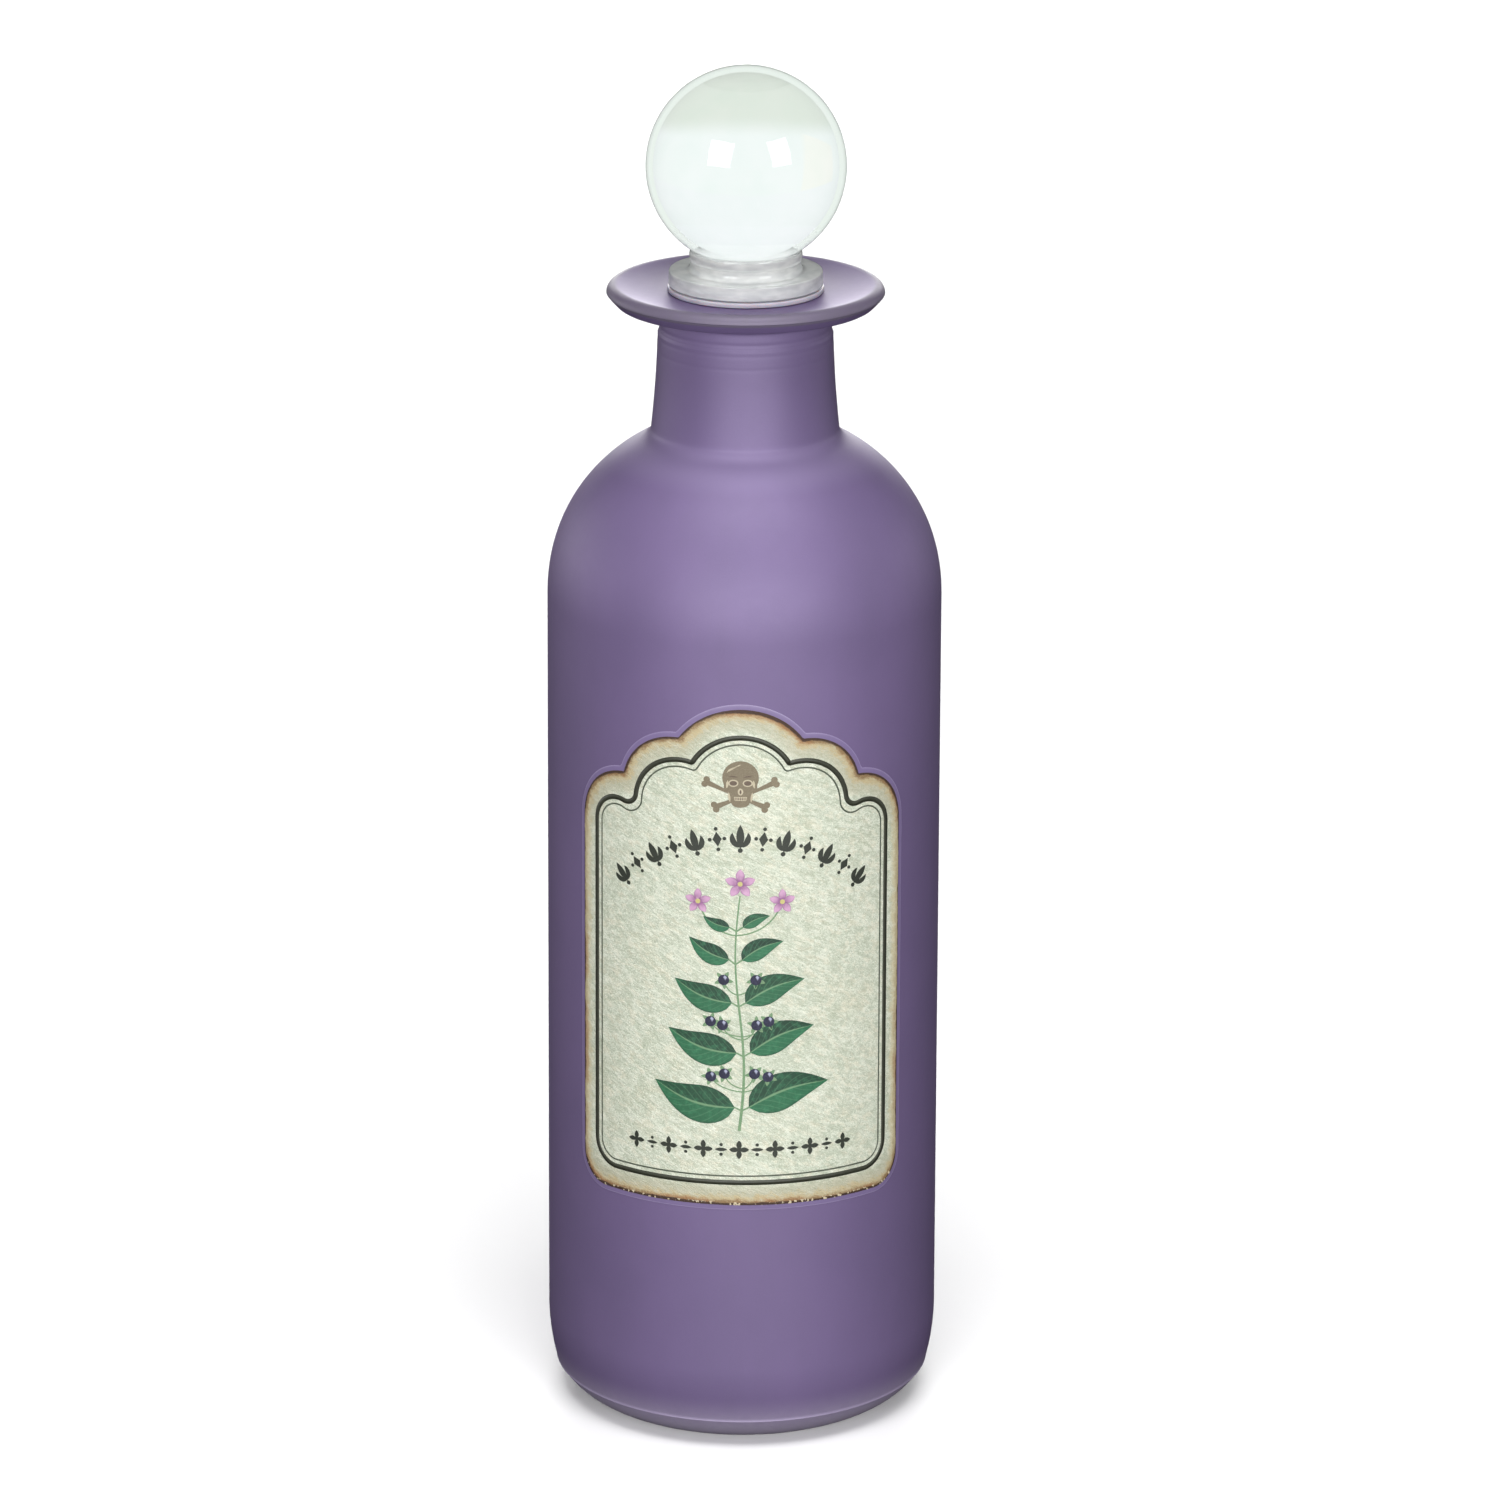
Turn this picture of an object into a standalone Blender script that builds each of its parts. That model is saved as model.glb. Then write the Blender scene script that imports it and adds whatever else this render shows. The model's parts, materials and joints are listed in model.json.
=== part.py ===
"""Potion bottle with a ball stopper, built from its separate pieces.

Metres, +Z up. The origin is the centre of the base on the table, and the label faces -Y.
The vessel, the seal and the stopper are turned about the Z axis, and the label is wrapped on the body.
"""

import math

import bmesh
import bpy
from mathutils import Matrix, Vector

# Facets round each turned piece, and steps along the curves of its profile
VESSEL_SEGMENTS = 48
STOPPER_SEGMENTS = 36
BASE_STEPS = 5
SHOULDER_STEPS = 11
INNER_SHOULDER_STEPS = 8
NECK_STEPS = 3
LIP_STEPS = 4
CUP_STEPS = 5
BALL_STEPS = 18
ROUNDING_STEPS = 2

# Vessel, outside, from the table up
FOOT_RING_WIDTH = 0.0060
PUSH_UP = 0.0040
HEEL_WIDTH = 0.0071
HEEL_HEIGHT = 0.0059
HEEL_FULLNESS_SHARE = 0.37
HEEL_SEAM_STEP = 0.0002
HEEL_INSET = 0.0017
HEEL_TOP_HEIGHT = 0.0180
BODY_LOW_RADIUS = 0.0403
BODY_TOP_RADIUS = 0.0399
BODY_HEIGHT = 0.1714
SHOULDER_RISE = 0.0322
SHOULDER_POWER = 2.105
NECK_FILLET_WIDTH = 0.0026
NECK_FILLET_HEIGHT = 0.0026
NECK_LENGTH = 0.0265
NECK_DRAFT = 0.0013
NECK_HOLLOW = 0.0002
NECK_LINE_DROP = 0.0041
NECK_LINE_STEP = 0.00025
LIP_OVERHANG = 0.0105
LIP_THICKNESS = 0.0058
LIP_UNDER_FILLET = 0.0008
LIP_UNDER_RISE = 0.0016
LIP_BEVEL_WIDTH = 0.0021
LIP_BEVEL_HEIGHT = 0.0026
LIP_ROUNDING_WIDTH = 0.0011
DISH_DEPTH = 0.0017

# Vessel, inside
BORE_RADIUS = 0.0139
BORE_EDGE_ROUNDING = 0.0006
BORE_FLARE_LENGTH = 0.0085
NECK_WALL = 0.0037
BODY_WALL = 0.0031
BASE_GLASS = 0.0080
INNER_HEEL_RADIUS = 0.0130

# Seal sleeve, between the bore and the peg
SEAT_GAP = 0.0003
FLANGE_OVERLAP = 0.00175
FLANGE_THICKNESS = 0.0010
SLEEVE_WALL = 0.0011
SLEEVE_LENGTH = 0.0210
SLEEVE_END_LIP = 0.0008
FIN_COUNT = 4
FIN_CLEARANCE = 0.0003
FIN_DEPTH = 0.0015
FIN_THICKNESS = 0.0009
FIN_DROOP = 0.0007

# Stopper plug: peg, disc and cup collar
PEG_WALL = 0.0017
PEG_ROUNDING = 0.0008
DISC_INSET = 0.00025
DISC_THICKNESS = 0.0029
DISC_EDGE_ROUNDING = 0.0003
DISC_DRAFT = 0.0001
COLLAR_INSET = 0.0044
COLLAR_COVE_WIDTH = 0.0014
COLLAR_COVE_HEIGHT = 0.0020
COLLAR_BEAD_HEIGHT = 0.0021
COLLAR_BEAD_BULGE = 0.0003
CUP_RIM_WIDTH = 0.0004
CUP_FLOOR = 0.0008

# Stopper ball
BALL_RADIUS = 0.0200

# Label, wrapped on the body and centred on -Y
LABEL_GAP = 0.00015
FILM_THICKNESS = 0.00010
FILM_MARGIN = 0.00105
PAPER_THICKNESS = 0.00015
LABEL_HALF_WIDTH = 0.0360
LABEL_BOTTOM_HEIGHT = 0.0543
LABEL_HEIGHT = 0.1049
LABEL_BOTTOM_CORNER = 0.0065
LABEL_CROWN_RADIUS = 0.0153
LABEL_LOBE_RADIUS = 0.01185
LABEL_LOBE_DROP = 0.00645
LABEL_LOBE_PLACE_SHARE = 0.54
LABEL_CORNER_RADIUS = 0.0114
LABEL_CORNER_DROP = 0.0154
LABEL_COLUMNS = 44

# What follows from these sizes
HEEL_SEAM_RADIUS = BODY_LOW_RADIUS - HEEL_INSET
FOOT_RADIUS = HEEL_SEAM_RADIUS - HEEL_WIDTH
FOOT_INNER_RADIUS = FOOT_RADIUS - FOOT_RING_WIDTH
NECK_LINE_RADIUS = BORE_RADIUS + NECK_WALL
NECK_TOP_RADIUS = NECK_LINE_RADIUS - NECK_LINE_STEP
NECK_FOOT_RADIUS = NECK_LINE_RADIUS + NECK_DRAFT
SHOULDER_TOP_RADIUS = NECK_FOOT_RADIUS + NECK_FILLET_WIDTH
SHOULDER_TOP_HEIGHT = BODY_HEIGHT + SHOULDER_RISE
LIP_UNDER_HEIGHT = SHOULDER_TOP_HEIGHT + NECK_LENGTH
LIP_RADIUS = NECK_TOP_RADIUS + LIP_OVERHANG
LIP_TOP_HEIGHT = LIP_UNDER_HEIGHT + LIP_THICKNESS
DISH_HEIGHT = LIP_TOP_HEIGHT - DISH_DEPTH
FLANGE_RADIUS = BORE_RADIUS + FLANGE_OVERLAP
SLEEVE_RADIUS = BORE_RADIUS - FIN_CLEARANCE - FIN_DEPTH
PEG_RADIUS = SLEEVE_RADIUS - SLEEVE_WALL - SEAT_GAP
DISC_RADIUS = FLANGE_RADIUS - DISC_INSET
COLLAR_RADIUS = DISC_RADIUS - COLLAR_INSET
SEAT_HEIGHT = DISH_HEIGHT + SEAT_GAP
SLEEVE_END_HEIGHT = SEAT_HEIGHT - SLEEVE_LENGTH
DISC_UNDERSIDE = SEAT_HEIGHT + FLANGE_THICKNESS + SEAT_GAP
DISC_TOP = DISC_UNDERSIDE + DISC_THICKNESS
BALL_CENTRE_HEIGHT = DISC_TOP + CUP_FLOOR + SEAT_GAP + BALL_RADIUS

# Joining the ring ends and the points on the axis
WELD_DISTANCE = 0.000001

FULL_TURN = 2 * math.pi
HALF_TURN = math.pi
QUARTER_TURN = math.pi / 2
SHARP_ANGLE = math.radians(32)


def clear_scene():
    for thing in list(bpy.data.objects):
        bpy.data.objects.remove(thing, do_unlink=True)


def plain_material(name, colour, roughness, alpha=1.0):
    material = bpy.data.materials.new(name)
    material.use_nodes = True
    shader = material.node_tree.nodes["Principled BSDF"]
    shader.inputs["Base Color"].default_value = (*colour, 1.0)
    shader.inputs["Roughness"].default_value = roughness
    shader.inputs["Metallic"].default_value = 0.0
    shader.inputs["Alpha"].default_value = alpha
    return material


def arc(centre, radii, start, end, steps):
    """Points on an elliptical arc, from the start angle to the end angle, both ends included."""
    points = []
    for step in range(steps + 1):
        angle = start + (end - start) * step / steps
        points.append((centre[0] + radii[0] * math.cos(angle), centre[1] + radii[1] * math.sin(angle)))
    return points


def curve(start, bend, end, steps):
    """Points on a curve that leaves the start towards the bend and comes to the end from it."""
    points = []
    for step in range(steps + 1):
        share = step / steps
        points.append(
            tuple(
                (1 - share) ** 2 * first + 2 * share * (1 - share) * middle + share**2 * last
                for first, middle, last in zip(start, bend, end)
            )
        )
    return points


def shoulder_curve(widest, top_radius, start_height, rise, steps):
    """A superellipse shoulder, from where the straight wall ends up to its top radius."""
    top_share = top_radius / widest
    full_rise = rise / (1 - top_share**SHOULDER_POWER) ** (1 / SHOULDER_POWER)
    top_angle = math.acos(top_share ** (SHOULDER_POWER / 2))
    points = []
    for step in range(steps + 1):
        angle = top_angle * step / steps
        radius = widest * math.cos(angle) ** (2 / SHOULDER_POWER)
        points.append((radius, start_height + full_rise * math.sin(angle) ** (2 / SHOULDER_POWER)))
    return points


def body_radius_at(height):
    """The body tapers a little, from the top of the heel up to the shoulder."""
    risen_share = (height - HEEL_TOP_HEIGHT) / (BODY_HEIGHT - HEEL_TOP_HEIGHT)
    return BODY_LOW_RADIUS + (BODY_TOP_RADIUS - BODY_LOW_RADIUS) * risen_share


def finished(name, shape, material):
    """Turns a built shape into an object with its faces outwards and its round faces smooth."""
    bmesh.ops.recalc_face_normals(shape, faces=shape.faces)
    mesh = bpy.data.meshes.new(name)
    shape.to_mesh(mesh)
    shape.free()
    mesh.shade_smooth()
    mesh.set_sharp_from_angle(angle=SHARP_ANGLE)
    mesh.materials.append(material)
    piece = bpy.data.objects.new(name, mesh)
    bpy.context.scene.collection.objects.link(piece)
    return piece


def turned(name, profile, segments, material, closed=False):
    """A solid turned about Z from (radius, height) points. A closed profile makes a ring."""
    shape = bmesh.new()
    corners = [shape.verts.new((radius, 0, height)) for radius, height in profile]
    edges = [shape.edges.new(pair) for pair in zip(corners, corners[1:])]
    if closed:
        edges.append(shape.edges.new((corners[-1], corners[0])))
    bmesh.ops.spin(
        shape,
        geom=corners + edges,
        cent=(0, 0, 0),
        axis=(0, 0, 1),
        angle=FULL_TURN,
        steps=segments,
        use_merge=True,
    )
    bmesh.ops.remove_doubles(shape, verts=shape.verts, dist=WELD_DISTANCE)
    return finished(name, shape, material)


def heel_points():
    """The foot ring's outer edge, the heel up to its seam, and the curve from the seam into the body."""
    foot = (FOOT_RADIUS, 0)
    seam = (HEEL_SEAM_RADIUS, HEEL_HEIGHT)
    middle = ((foot[0] + seam[0]) / 2, (foot[1] + seam[1]) / 2)
    bend = (
        middle[0] + (seam[0] - middle[0]) * HEEL_FULLNESS_SHARE,
        middle[1] + (foot[1] - middle[1]) * HEEL_FULLNESS_SHARE,
    )
    above = (HEEL_SEAM_RADIUS + HEEL_SEAM_STEP, HEEL_HEIGHT + HEEL_SEAM_STEP)
    body = (BODY_LOW_RADIUS, HEEL_TOP_HEIGHT)
    bow = (body[0], (above[1] + body[1]) / 2)
    return curve(foot, bend, seam, BASE_STEPS) + curve(above, bow, body, BASE_STEPS)


def vessel_outside():
    """The outer wall, from the middle of the underside up to the mouth."""
    shoulder_top = (SHOULDER_TOP_RADIUS, SHOULDER_TOP_HEIGHT)
    neck_foot = (NECK_FOOT_RADIUS, SHOULDER_TOP_HEIGHT + NECK_FILLET_HEIGHT)
    neck_line = (NECK_LINE_RADIUS, LIP_UNDER_HEIGHT - NECK_LINE_DROP)
    neck_middle = ((neck_foot[0] + neck_line[0]) / 2 - NECK_HOLLOW, (neck_foot[1] + neck_line[1]) / 2)
    points = arc((0, 0), (FOOT_INNER_RADIUS, PUSH_UP), QUARTER_TURN, 0, BASE_STEPS)
    points += heel_points()
    points += shoulder_curve(
        BODY_TOP_RADIUS, SHOULDER_TOP_RADIUS, BODY_HEIGHT, SHOULDER_RISE, SHOULDER_STEPS
    )
    points += curve(shoulder_top, (NECK_FOOT_RADIUS, SHOULDER_TOP_HEIGHT), neck_foot, NECK_STEPS)[1:]
    points += curve(neck_foot, neck_middle, neck_line, NECK_STEPS)[1:]
    points.append((NECK_TOP_RADIUS, neck_line[1] + NECK_LINE_STEP))
    points += lip_points()
    return points


def lip_points():
    """The flared lip, from its underside at the neck, round its edge and down its dished top to the bore."""
    edge_low = (LIP_RADIUS - LIP_BEVEL_WIDTH, LIP_UNDER_HEIGHT + LIP_UNDER_RISE)
    widest_height = edge_low[1] + LIP_BEVEL_HEIGHT
    top_radius = LIP_RADIUS - LIP_ROUNDING_WIDTH
    points = curve(
        (NECK_TOP_RADIUS, LIP_UNDER_HEIGHT - LIP_UNDER_FILLET),
        (NECK_TOP_RADIUS, LIP_UNDER_HEIGHT),
        (NECK_TOP_RADIUS + LIP_UNDER_FILLET, LIP_UNDER_HEIGHT),
        ROUNDING_STEPS,
    )
    points += arc(
        (edge_low[0], widest_height),
        (LIP_BEVEL_WIDTH, LIP_BEVEL_HEIGHT),
        -QUARTER_TURN,
        0,
        LIP_STEPS,
    )
    points += arc(
        (top_radius, widest_height),
        (LIP_ROUNDING_WIDTH, LIP_TOP_HEIGHT - widest_height),
        0,
        QUARTER_TURN,
        LIP_STEPS,
    )[1:]
    points += curve(
        (top_radius, LIP_TOP_HEIGHT),
        ((top_radius + FLANGE_RADIUS) / 2, DISH_HEIGHT),
        (FLANGE_RADIUS, DISH_HEIGHT),
        LIP_STEPS,
    )[1:]
    points += curve(
        (BORE_RADIUS + BORE_EDGE_ROUNDING, DISH_HEIGHT),
        (BORE_RADIUS, DISH_HEIGHT),
        (BORE_RADIUS, DISH_HEIGHT - BORE_EDGE_ROUNDING),
        ROUNDING_STEPS,
    )
    return points


def vessel_inside():
    """The inner wall, from the bore down to the middle of the floor."""
    low_radius = BODY_LOW_RADIUS - BODY_WALL
    floor_radius = low_radius - INNER_HEEL_RADIUS
    inner_shoulder = shoulder_curve(
        BODY_TOP_RADIUS - BODY_WALL,
        SHOULDER_TOP_RADIUS - BODY_WALL,
        BODY_HEIGHT,
        SHOULDER_RISE - BODY_WALL,
        INNER_SHOULDER_STEPS,
    )
    points = [(BORE_RADIUS, SHOULDER_TOP_HEIGHT + BORE_FLARE_LENGTH)]
    points.append((NECK_FOOT_RADIUS - NECK_WALL, SHOULDER_TOP_HEIGHT))
    points += reversed(inner_shoulder)
    points += arc(
        (floor_radius, BASE_GLASS + INNER_HEEL_RADIUS),
        (INNER_HEEL_RADIUS, INNER_HEEL_RADIUS),
        0,
        -QUARTER_TURN,
        BASE_STEPS,
    )
    points += arc((0, BASE_GLASS), (floor_radius, PUSH_UP), 0, QUARTER_TURN, BASE_STEPS)[1:]
    return points


def sleeve_profile():
    """The closed section of the seal: flange, thin wall, fins that droop, and a lip under the peg's end."""
    inner_radius = SLEEVE_RADIUS - SLEEVE_WALL
    fin_radius = SLEEVE_RADIUS + FIN_DEPTH
    catch_radius = inner_radius - SLEEVE_END_LIP
    catch_height = SLEEVE_END_HEIGHT + SLEEVE_WALL
    pitch = SLEEVE_LENGTH / (FIN_COUNT + 1)
    points = [(inner_radius, SEAT_HEIGHT + FLANGE_THICKNESS)]
    points.append((FLANGE_RADIUS, SEAT_HEIGHT + FLANGE_THICKNESS))
    points.append((FLANGE_RADIUS, SEAT_HEIGHT))
    points.append((SLEEVE_RADIUS, SEAT_HEIGHT))
    for fin in range(1, FIN_COUNT + 1):
        fin_height = SEAT_HEIGHT - fin * pitch
        points.append((SLEEVE_RADIUS, fin_height + FIN_THICKNESS))
        points.append((fin_radius, fin_height + FIN_THICKNESS - FIN_DROOP))
        points.append((fin_radius, fin_height - FIN_DROOP))
        points.append((SLEEVE_RADIUS, fin_height))
    points.append((SLEEVE_RADIUS, catch_height))
    points.append((inner_radius, SLEEVE_END_HEIGHT))
    points.append((catch_radius, SLEEVE_END_HEIGHT))
    points.append((catch_radius, catch_height))
    points.append((inner_radius, catch_height))
    return points


def cup_points():
    """The cup that holds the ball, from its middle out to the rim of the collar."""
    cup_radius = BALL_RADIUS + SEAT_GAP
    rim_angle = math.asin((COLLAR_RADIUS - CUP_RIM_WIDTH) / cup_radius)
    centre = (0, BALL_CENTRE_HEIGHT)
    return arc(centre, (cup_radius, cup_radius), -QUARTER_TURN, rim_angle - QUARTER_TURN, CUP_STEPS)


def plug_profile():
    """The plug, from the middle of its cup, over collar and disc, and round the hollow peg."""
    cove_top = DISC_TOP + COLLAR_COVE_HEIGHT
    peg_end = SLEEVE_END_HEIGHT + SLEEVE_WALL + SEAT_GAP
    hollow_radius = PEG_RADIUS - PEG_WALL
    points = cup_points()
    points += arc(
        (COLLAR_RADIUS, cove_top + COLLAR_BEAD_HEIGHT / 2),
        (COLLAR_BEAD_BULGE, COLLAR_BEAD_HEIGHT / 2),
        QUARTER_TURN,
        -QUARTER_TURN,
        2 * ROUNDING_STEPS,
    )
    points += curve(
        (COLLAR_RADIUS, cove_top),
        (COLLAR_RADIUS, DISC_TOP),
        (COLLAR_RADIUS + COLLAR_COVE_WIDTH, DISC_TOP),
        ROUNDING_STEPS,
    )[1:]
    points += arc(
        (DISC_RADIUS - DISC_EDGE_ROUNDING, DISC_TOP - DISC_EDGE_ROUNDING),
        (DISC_EDGE_ROUNDING, DISC_EDGE_ROUNDING),
        QUARTER_TURN,
        0,
        ROUNDING_STEPS,
    )
    points.append((DISC_RADIUS + DISC_DRAFT, DISC_UNDERSIDE))
    points.append((PEG_RADIUS, DISC_UNDERSIDE))
    points.append((PEG_RADIUS, peg_end + PEG_ROUNDING))
    points.append((PEG_RADIUS - PEG_ROUNDING, peg_end))
    points.append((hollow_radius, peg_end))
    points.append((hollow_radius, DISC_UNDERSIDE - PEG_ROUNDING))
    points.append((hollow_radius - PEG_ROUNDING, DISC_UNDERSIDE))
    points.append((0, DISC_UNDERSIDE))
    return points


def ball_profile():
    return arc((0, BALL_CENTRE_HEIGHT), (BALL_RADIUS, BALL_RADIUS), QUARTER_TURN, -QUARTER_TURN, BALL_STEPS)


def label_top(offset, margin):
    """Top edge of the label at a distance from its centre line, along the highest of its arcs."""
    crown_height = LABEL_BOTTOM_HEIGHT + LABEL_HEIGHT
    corner_centre = LABEL_HALF_WIDTH - LABEL_CORNER_RADIUS
    corner_height = crown_height - LABEL_CORNER_DROP
    circles = (
        (0, crown_height, LABEL_CROWN_RADIUS),
        (corner_centre * LABEL_LOBE_PLACE_SHARE, crown_height - LABEL_LOBE_DROP, LABEL_LOBE_RADIUS),
        (corner_centre, corner_height, LABEL_CORNER_RADIUS),
    )
    highest = corner_height - LABEL_CORNER_RADIUS
    for centre, apex, radius in circles:
        inside = (radius + margin) ** 2 - (offset - centre) ** 2
        if inside > 0:
            highest = max(highest, apex - radius + math.sqrt(inside))
    return highest


def label_bottom(offset, margin):
    """Bottom edge of the label at a distance from its centre line, round at the corners."""
    corner = LABEL_BOTTOM_CORNER + margin
    past_corner = max(0, offset - (LABEL_HALF_WIDTH - LABEL_BOTTOM_CORNER))
    return LABEL_BOTTOM_HEIGHT - margin + corner - math.sqrt(max(0, corner**2 - past_corner**2))


def wrapped_sheet(name, standoff, thickness, margin, material):
    """A thin sheet in the label's outline, grown by a margin and wrapped round the body at a standoff."""
    shape = bmesh.new()
    half_width = LABEL_HALF_WIDTH + margin
    columns = []
    for column in range(LABEL_COLUMNS + 1):
        across = -half_width * math.cos(HALF_TURN * column / LABEL_COLUMNS)
        turn = across / BODY_TOP_RADIUS
        out = Vector((math.sin(turn), -math.cos(turn), 0))
        top = label_top(abs(across), margin)
        bottom = label_bottom(abs(across), margin)
        corners = []
        for lift, height in ((0, bottom), (thickness, bottom), (thickness, top), (0, top)):
            radius = body_radius_at(height) + standoff + lift
            corners.append(shape.verts.new(out * radius + Vector((0, 0, height))))
        columns.append(corners)
    for left, right in zip(columns, columns[1:]):
        for corner in range(4):
            following = (corner + 1) % 4
            shape.faces.new((left[corner], left[following], right[following], right[corner]))
    shape.faces.new(columns[0])
    shape.faces.new(columns[-1])
    return finished(name, shape, material)


def set_origin(piece, height):
    """Moves a piece's origin up its axis and leaves its shape where it is."""
    piece.data.transform(Matrix.Translation((0, 0, -height)))
    piece.location = (0, 0, height)


def build_vessel():
    lacquer = plain_material("satin_purple_lacquer", (0.21, 0.16, 0.29), 0.45)
    return turned("glass_bottle", vessel_outside() + vessel_inside(), VESSEL_SEGMENTS, lacquer)


def build_label(vessel):
    clear_film = plain_material("clear_film", (0.42, 0.34, 0.52), 0.25, 0.6)
    paper = plain_material("aged_paper", (0.66, 0.71, 0.56), 0.7)
    paper_standoff = LABEL_GAP + FILM_THICKNESS + LABEL_GAP
    film_piece = wrapped_sheet("label_film", LABEL_GAP, FILM_THICKNESS, FILM_MARGIN, clear_film)
    paper_piece = wrapped_sheet("label_paper", paper_standoff, PAPER_THICKNESS, 0, paper)
    film_piece.parent = vessel
    paper_piece.parent = film_piece


def axis_empty(name, parent):
    """An empty that a moving piece hangs from. Its Z axis is the joint's axis."""
    empty = bpy.data.objects.new(name, None)
    bpy.context.scene.collection.objects.link(empty)
    empty.parent = parent
    return empty


def build_stopper(vessel):
    soft = plain_material("soft_clear_seal", (0.86, 0.87, 0.84), 0.4, 0.7)
    clear = plain_material("clear_acrylic", (0.93, 0.95, 0.94), 0.03, 0.35)
    lift_axis = axis_empty("stopper_lift_axis", vessel)
    turn_axis = axis_empty("knob_turn_axis", lift_axis)
    sleeve = turned("seal_sleeve", sleeve_profile(), STOPPER_SEGMENTS, soft, closed=True)
    set_origin(sleeve, SEAT_HEIGHT)
    sleeve.parent = lift_axis
    plug = turned("stopper_plug", plug_profile(), STOPPER_SEGMENTS, clear)
    set_origin(plug, DISC_UNDERSIDE)
    plug.parent = turn_axis
    ball = turned("stopper_ball", ball_profile(), STOPPER_SEGMENTS, clear)
    set_origin(ball, BALL_CENTRE_HEIGHT)
    ball.parent = turn_axis


def main():
    clear_scene()
    vessel = build_vessel()
    build_label(vessel)
    build_stopper(vessel)


main()
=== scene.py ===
import json
import math
import random

import bmesh
import bpy
from mathutils import Matrix, Vector
from mathutils.kdtree import KDTree

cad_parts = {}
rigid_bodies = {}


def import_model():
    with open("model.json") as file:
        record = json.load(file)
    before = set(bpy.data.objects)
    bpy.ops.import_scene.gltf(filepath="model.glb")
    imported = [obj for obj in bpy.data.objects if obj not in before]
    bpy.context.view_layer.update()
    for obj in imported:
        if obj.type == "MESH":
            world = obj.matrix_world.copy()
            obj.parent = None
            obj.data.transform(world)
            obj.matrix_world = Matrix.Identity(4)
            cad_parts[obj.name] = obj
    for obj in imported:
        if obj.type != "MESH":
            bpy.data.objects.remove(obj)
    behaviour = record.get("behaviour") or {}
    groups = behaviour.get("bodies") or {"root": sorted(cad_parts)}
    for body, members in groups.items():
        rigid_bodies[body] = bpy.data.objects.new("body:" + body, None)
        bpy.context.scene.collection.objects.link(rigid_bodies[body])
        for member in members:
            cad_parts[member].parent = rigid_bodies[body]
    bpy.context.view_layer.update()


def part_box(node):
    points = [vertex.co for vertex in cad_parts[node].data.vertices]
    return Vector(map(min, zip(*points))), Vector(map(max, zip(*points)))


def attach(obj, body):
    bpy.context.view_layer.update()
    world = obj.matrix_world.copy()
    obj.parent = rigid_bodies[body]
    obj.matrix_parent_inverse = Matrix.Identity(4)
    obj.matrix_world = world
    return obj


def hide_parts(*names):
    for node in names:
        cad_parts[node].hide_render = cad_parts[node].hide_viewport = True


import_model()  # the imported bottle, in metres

mm = 0.001  # sizes in the dictionaries are millimetres
quarter = math.pi / 2


# The socket class and the one way to make a node

def mathNode(operation, swapped=False):  # a method that adds one Math node
    def method(self, *others):
        values = (*others, self) if swapped else (self, *others)
        return self.net.node("ShaderNodeMath", dict(enumerate(values)), operation=operation)
    return method


class Wire:
    __add__ = __radd__ = mathNode("ADD")
    __sub__, __rsub__ = mathNode("SUBTRACT"), mathNode("SUBTRACT", swapped=True)
    __mul__ = __rmul__ = mathNode("MULTIPLY")
    __truediv__, __rtruediv__ = mathNode("DIVIDE"), mathNode("DIVIDE", swapped=True)
    __pow__, rest = mathNode("POWER"), mathNode("FLOORED_MODULO")
    size, whole, above = mathNode("ABSOLUTE"), mathNode("FLOOR"), mathNode("GREATER_THAN")
    sine, cosine = mathNode("SINE"), mathNode("COSINE")

    def __init__(self, net, socket):
        self.net, self.socket = net, socket

    def out(self, name):  # another output of the same node
        return Wire(self.net, self.socket.node.outputs[name])

    def rise(self, low, high):  # 0 at low, 1 at high, eased between
        values = {0: self, 1: low, 2: high}
        return self.net.node("ShaderNodeMapRange", values, interpolation_type="SMOOTHSTEP")


class Net:
    def __init__(self, tree):
        self.tree = tree

    def node(self, kind, sockets=None, output=0, **settings):
        made = self.tree.nodes.new(kind)
        for key, value in settings.items():
            setattr(made, key, value)
        for key, value in (sockets or {}).items():
            if isinstance(value, Wire):
                self.tree.links.new(value.socket, made.inputs[key])
            else:
                made.inputs[key].default_value = value
        return Wire(self, made.outputs[output]) if made.outputs else made

    def split(self, place):  # X, with Y and Z as its other outputs
        return self.node("ShaderNodeSeparateXYZ", {0: place})

    def point(self, **parts):
        return self.node("ShaderNodeCombineXYZ", parts)


def hue(red, green, blue):  # a colour as picked on a screen, made linear
    def linear(part):
        share = part / 255
        return share / 12.92 if share <= 0.04045 else ((share + 0.055) / 1.055) ** 2.4
    return (linear(red), linear(green), linear(blue), 1.0)


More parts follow.
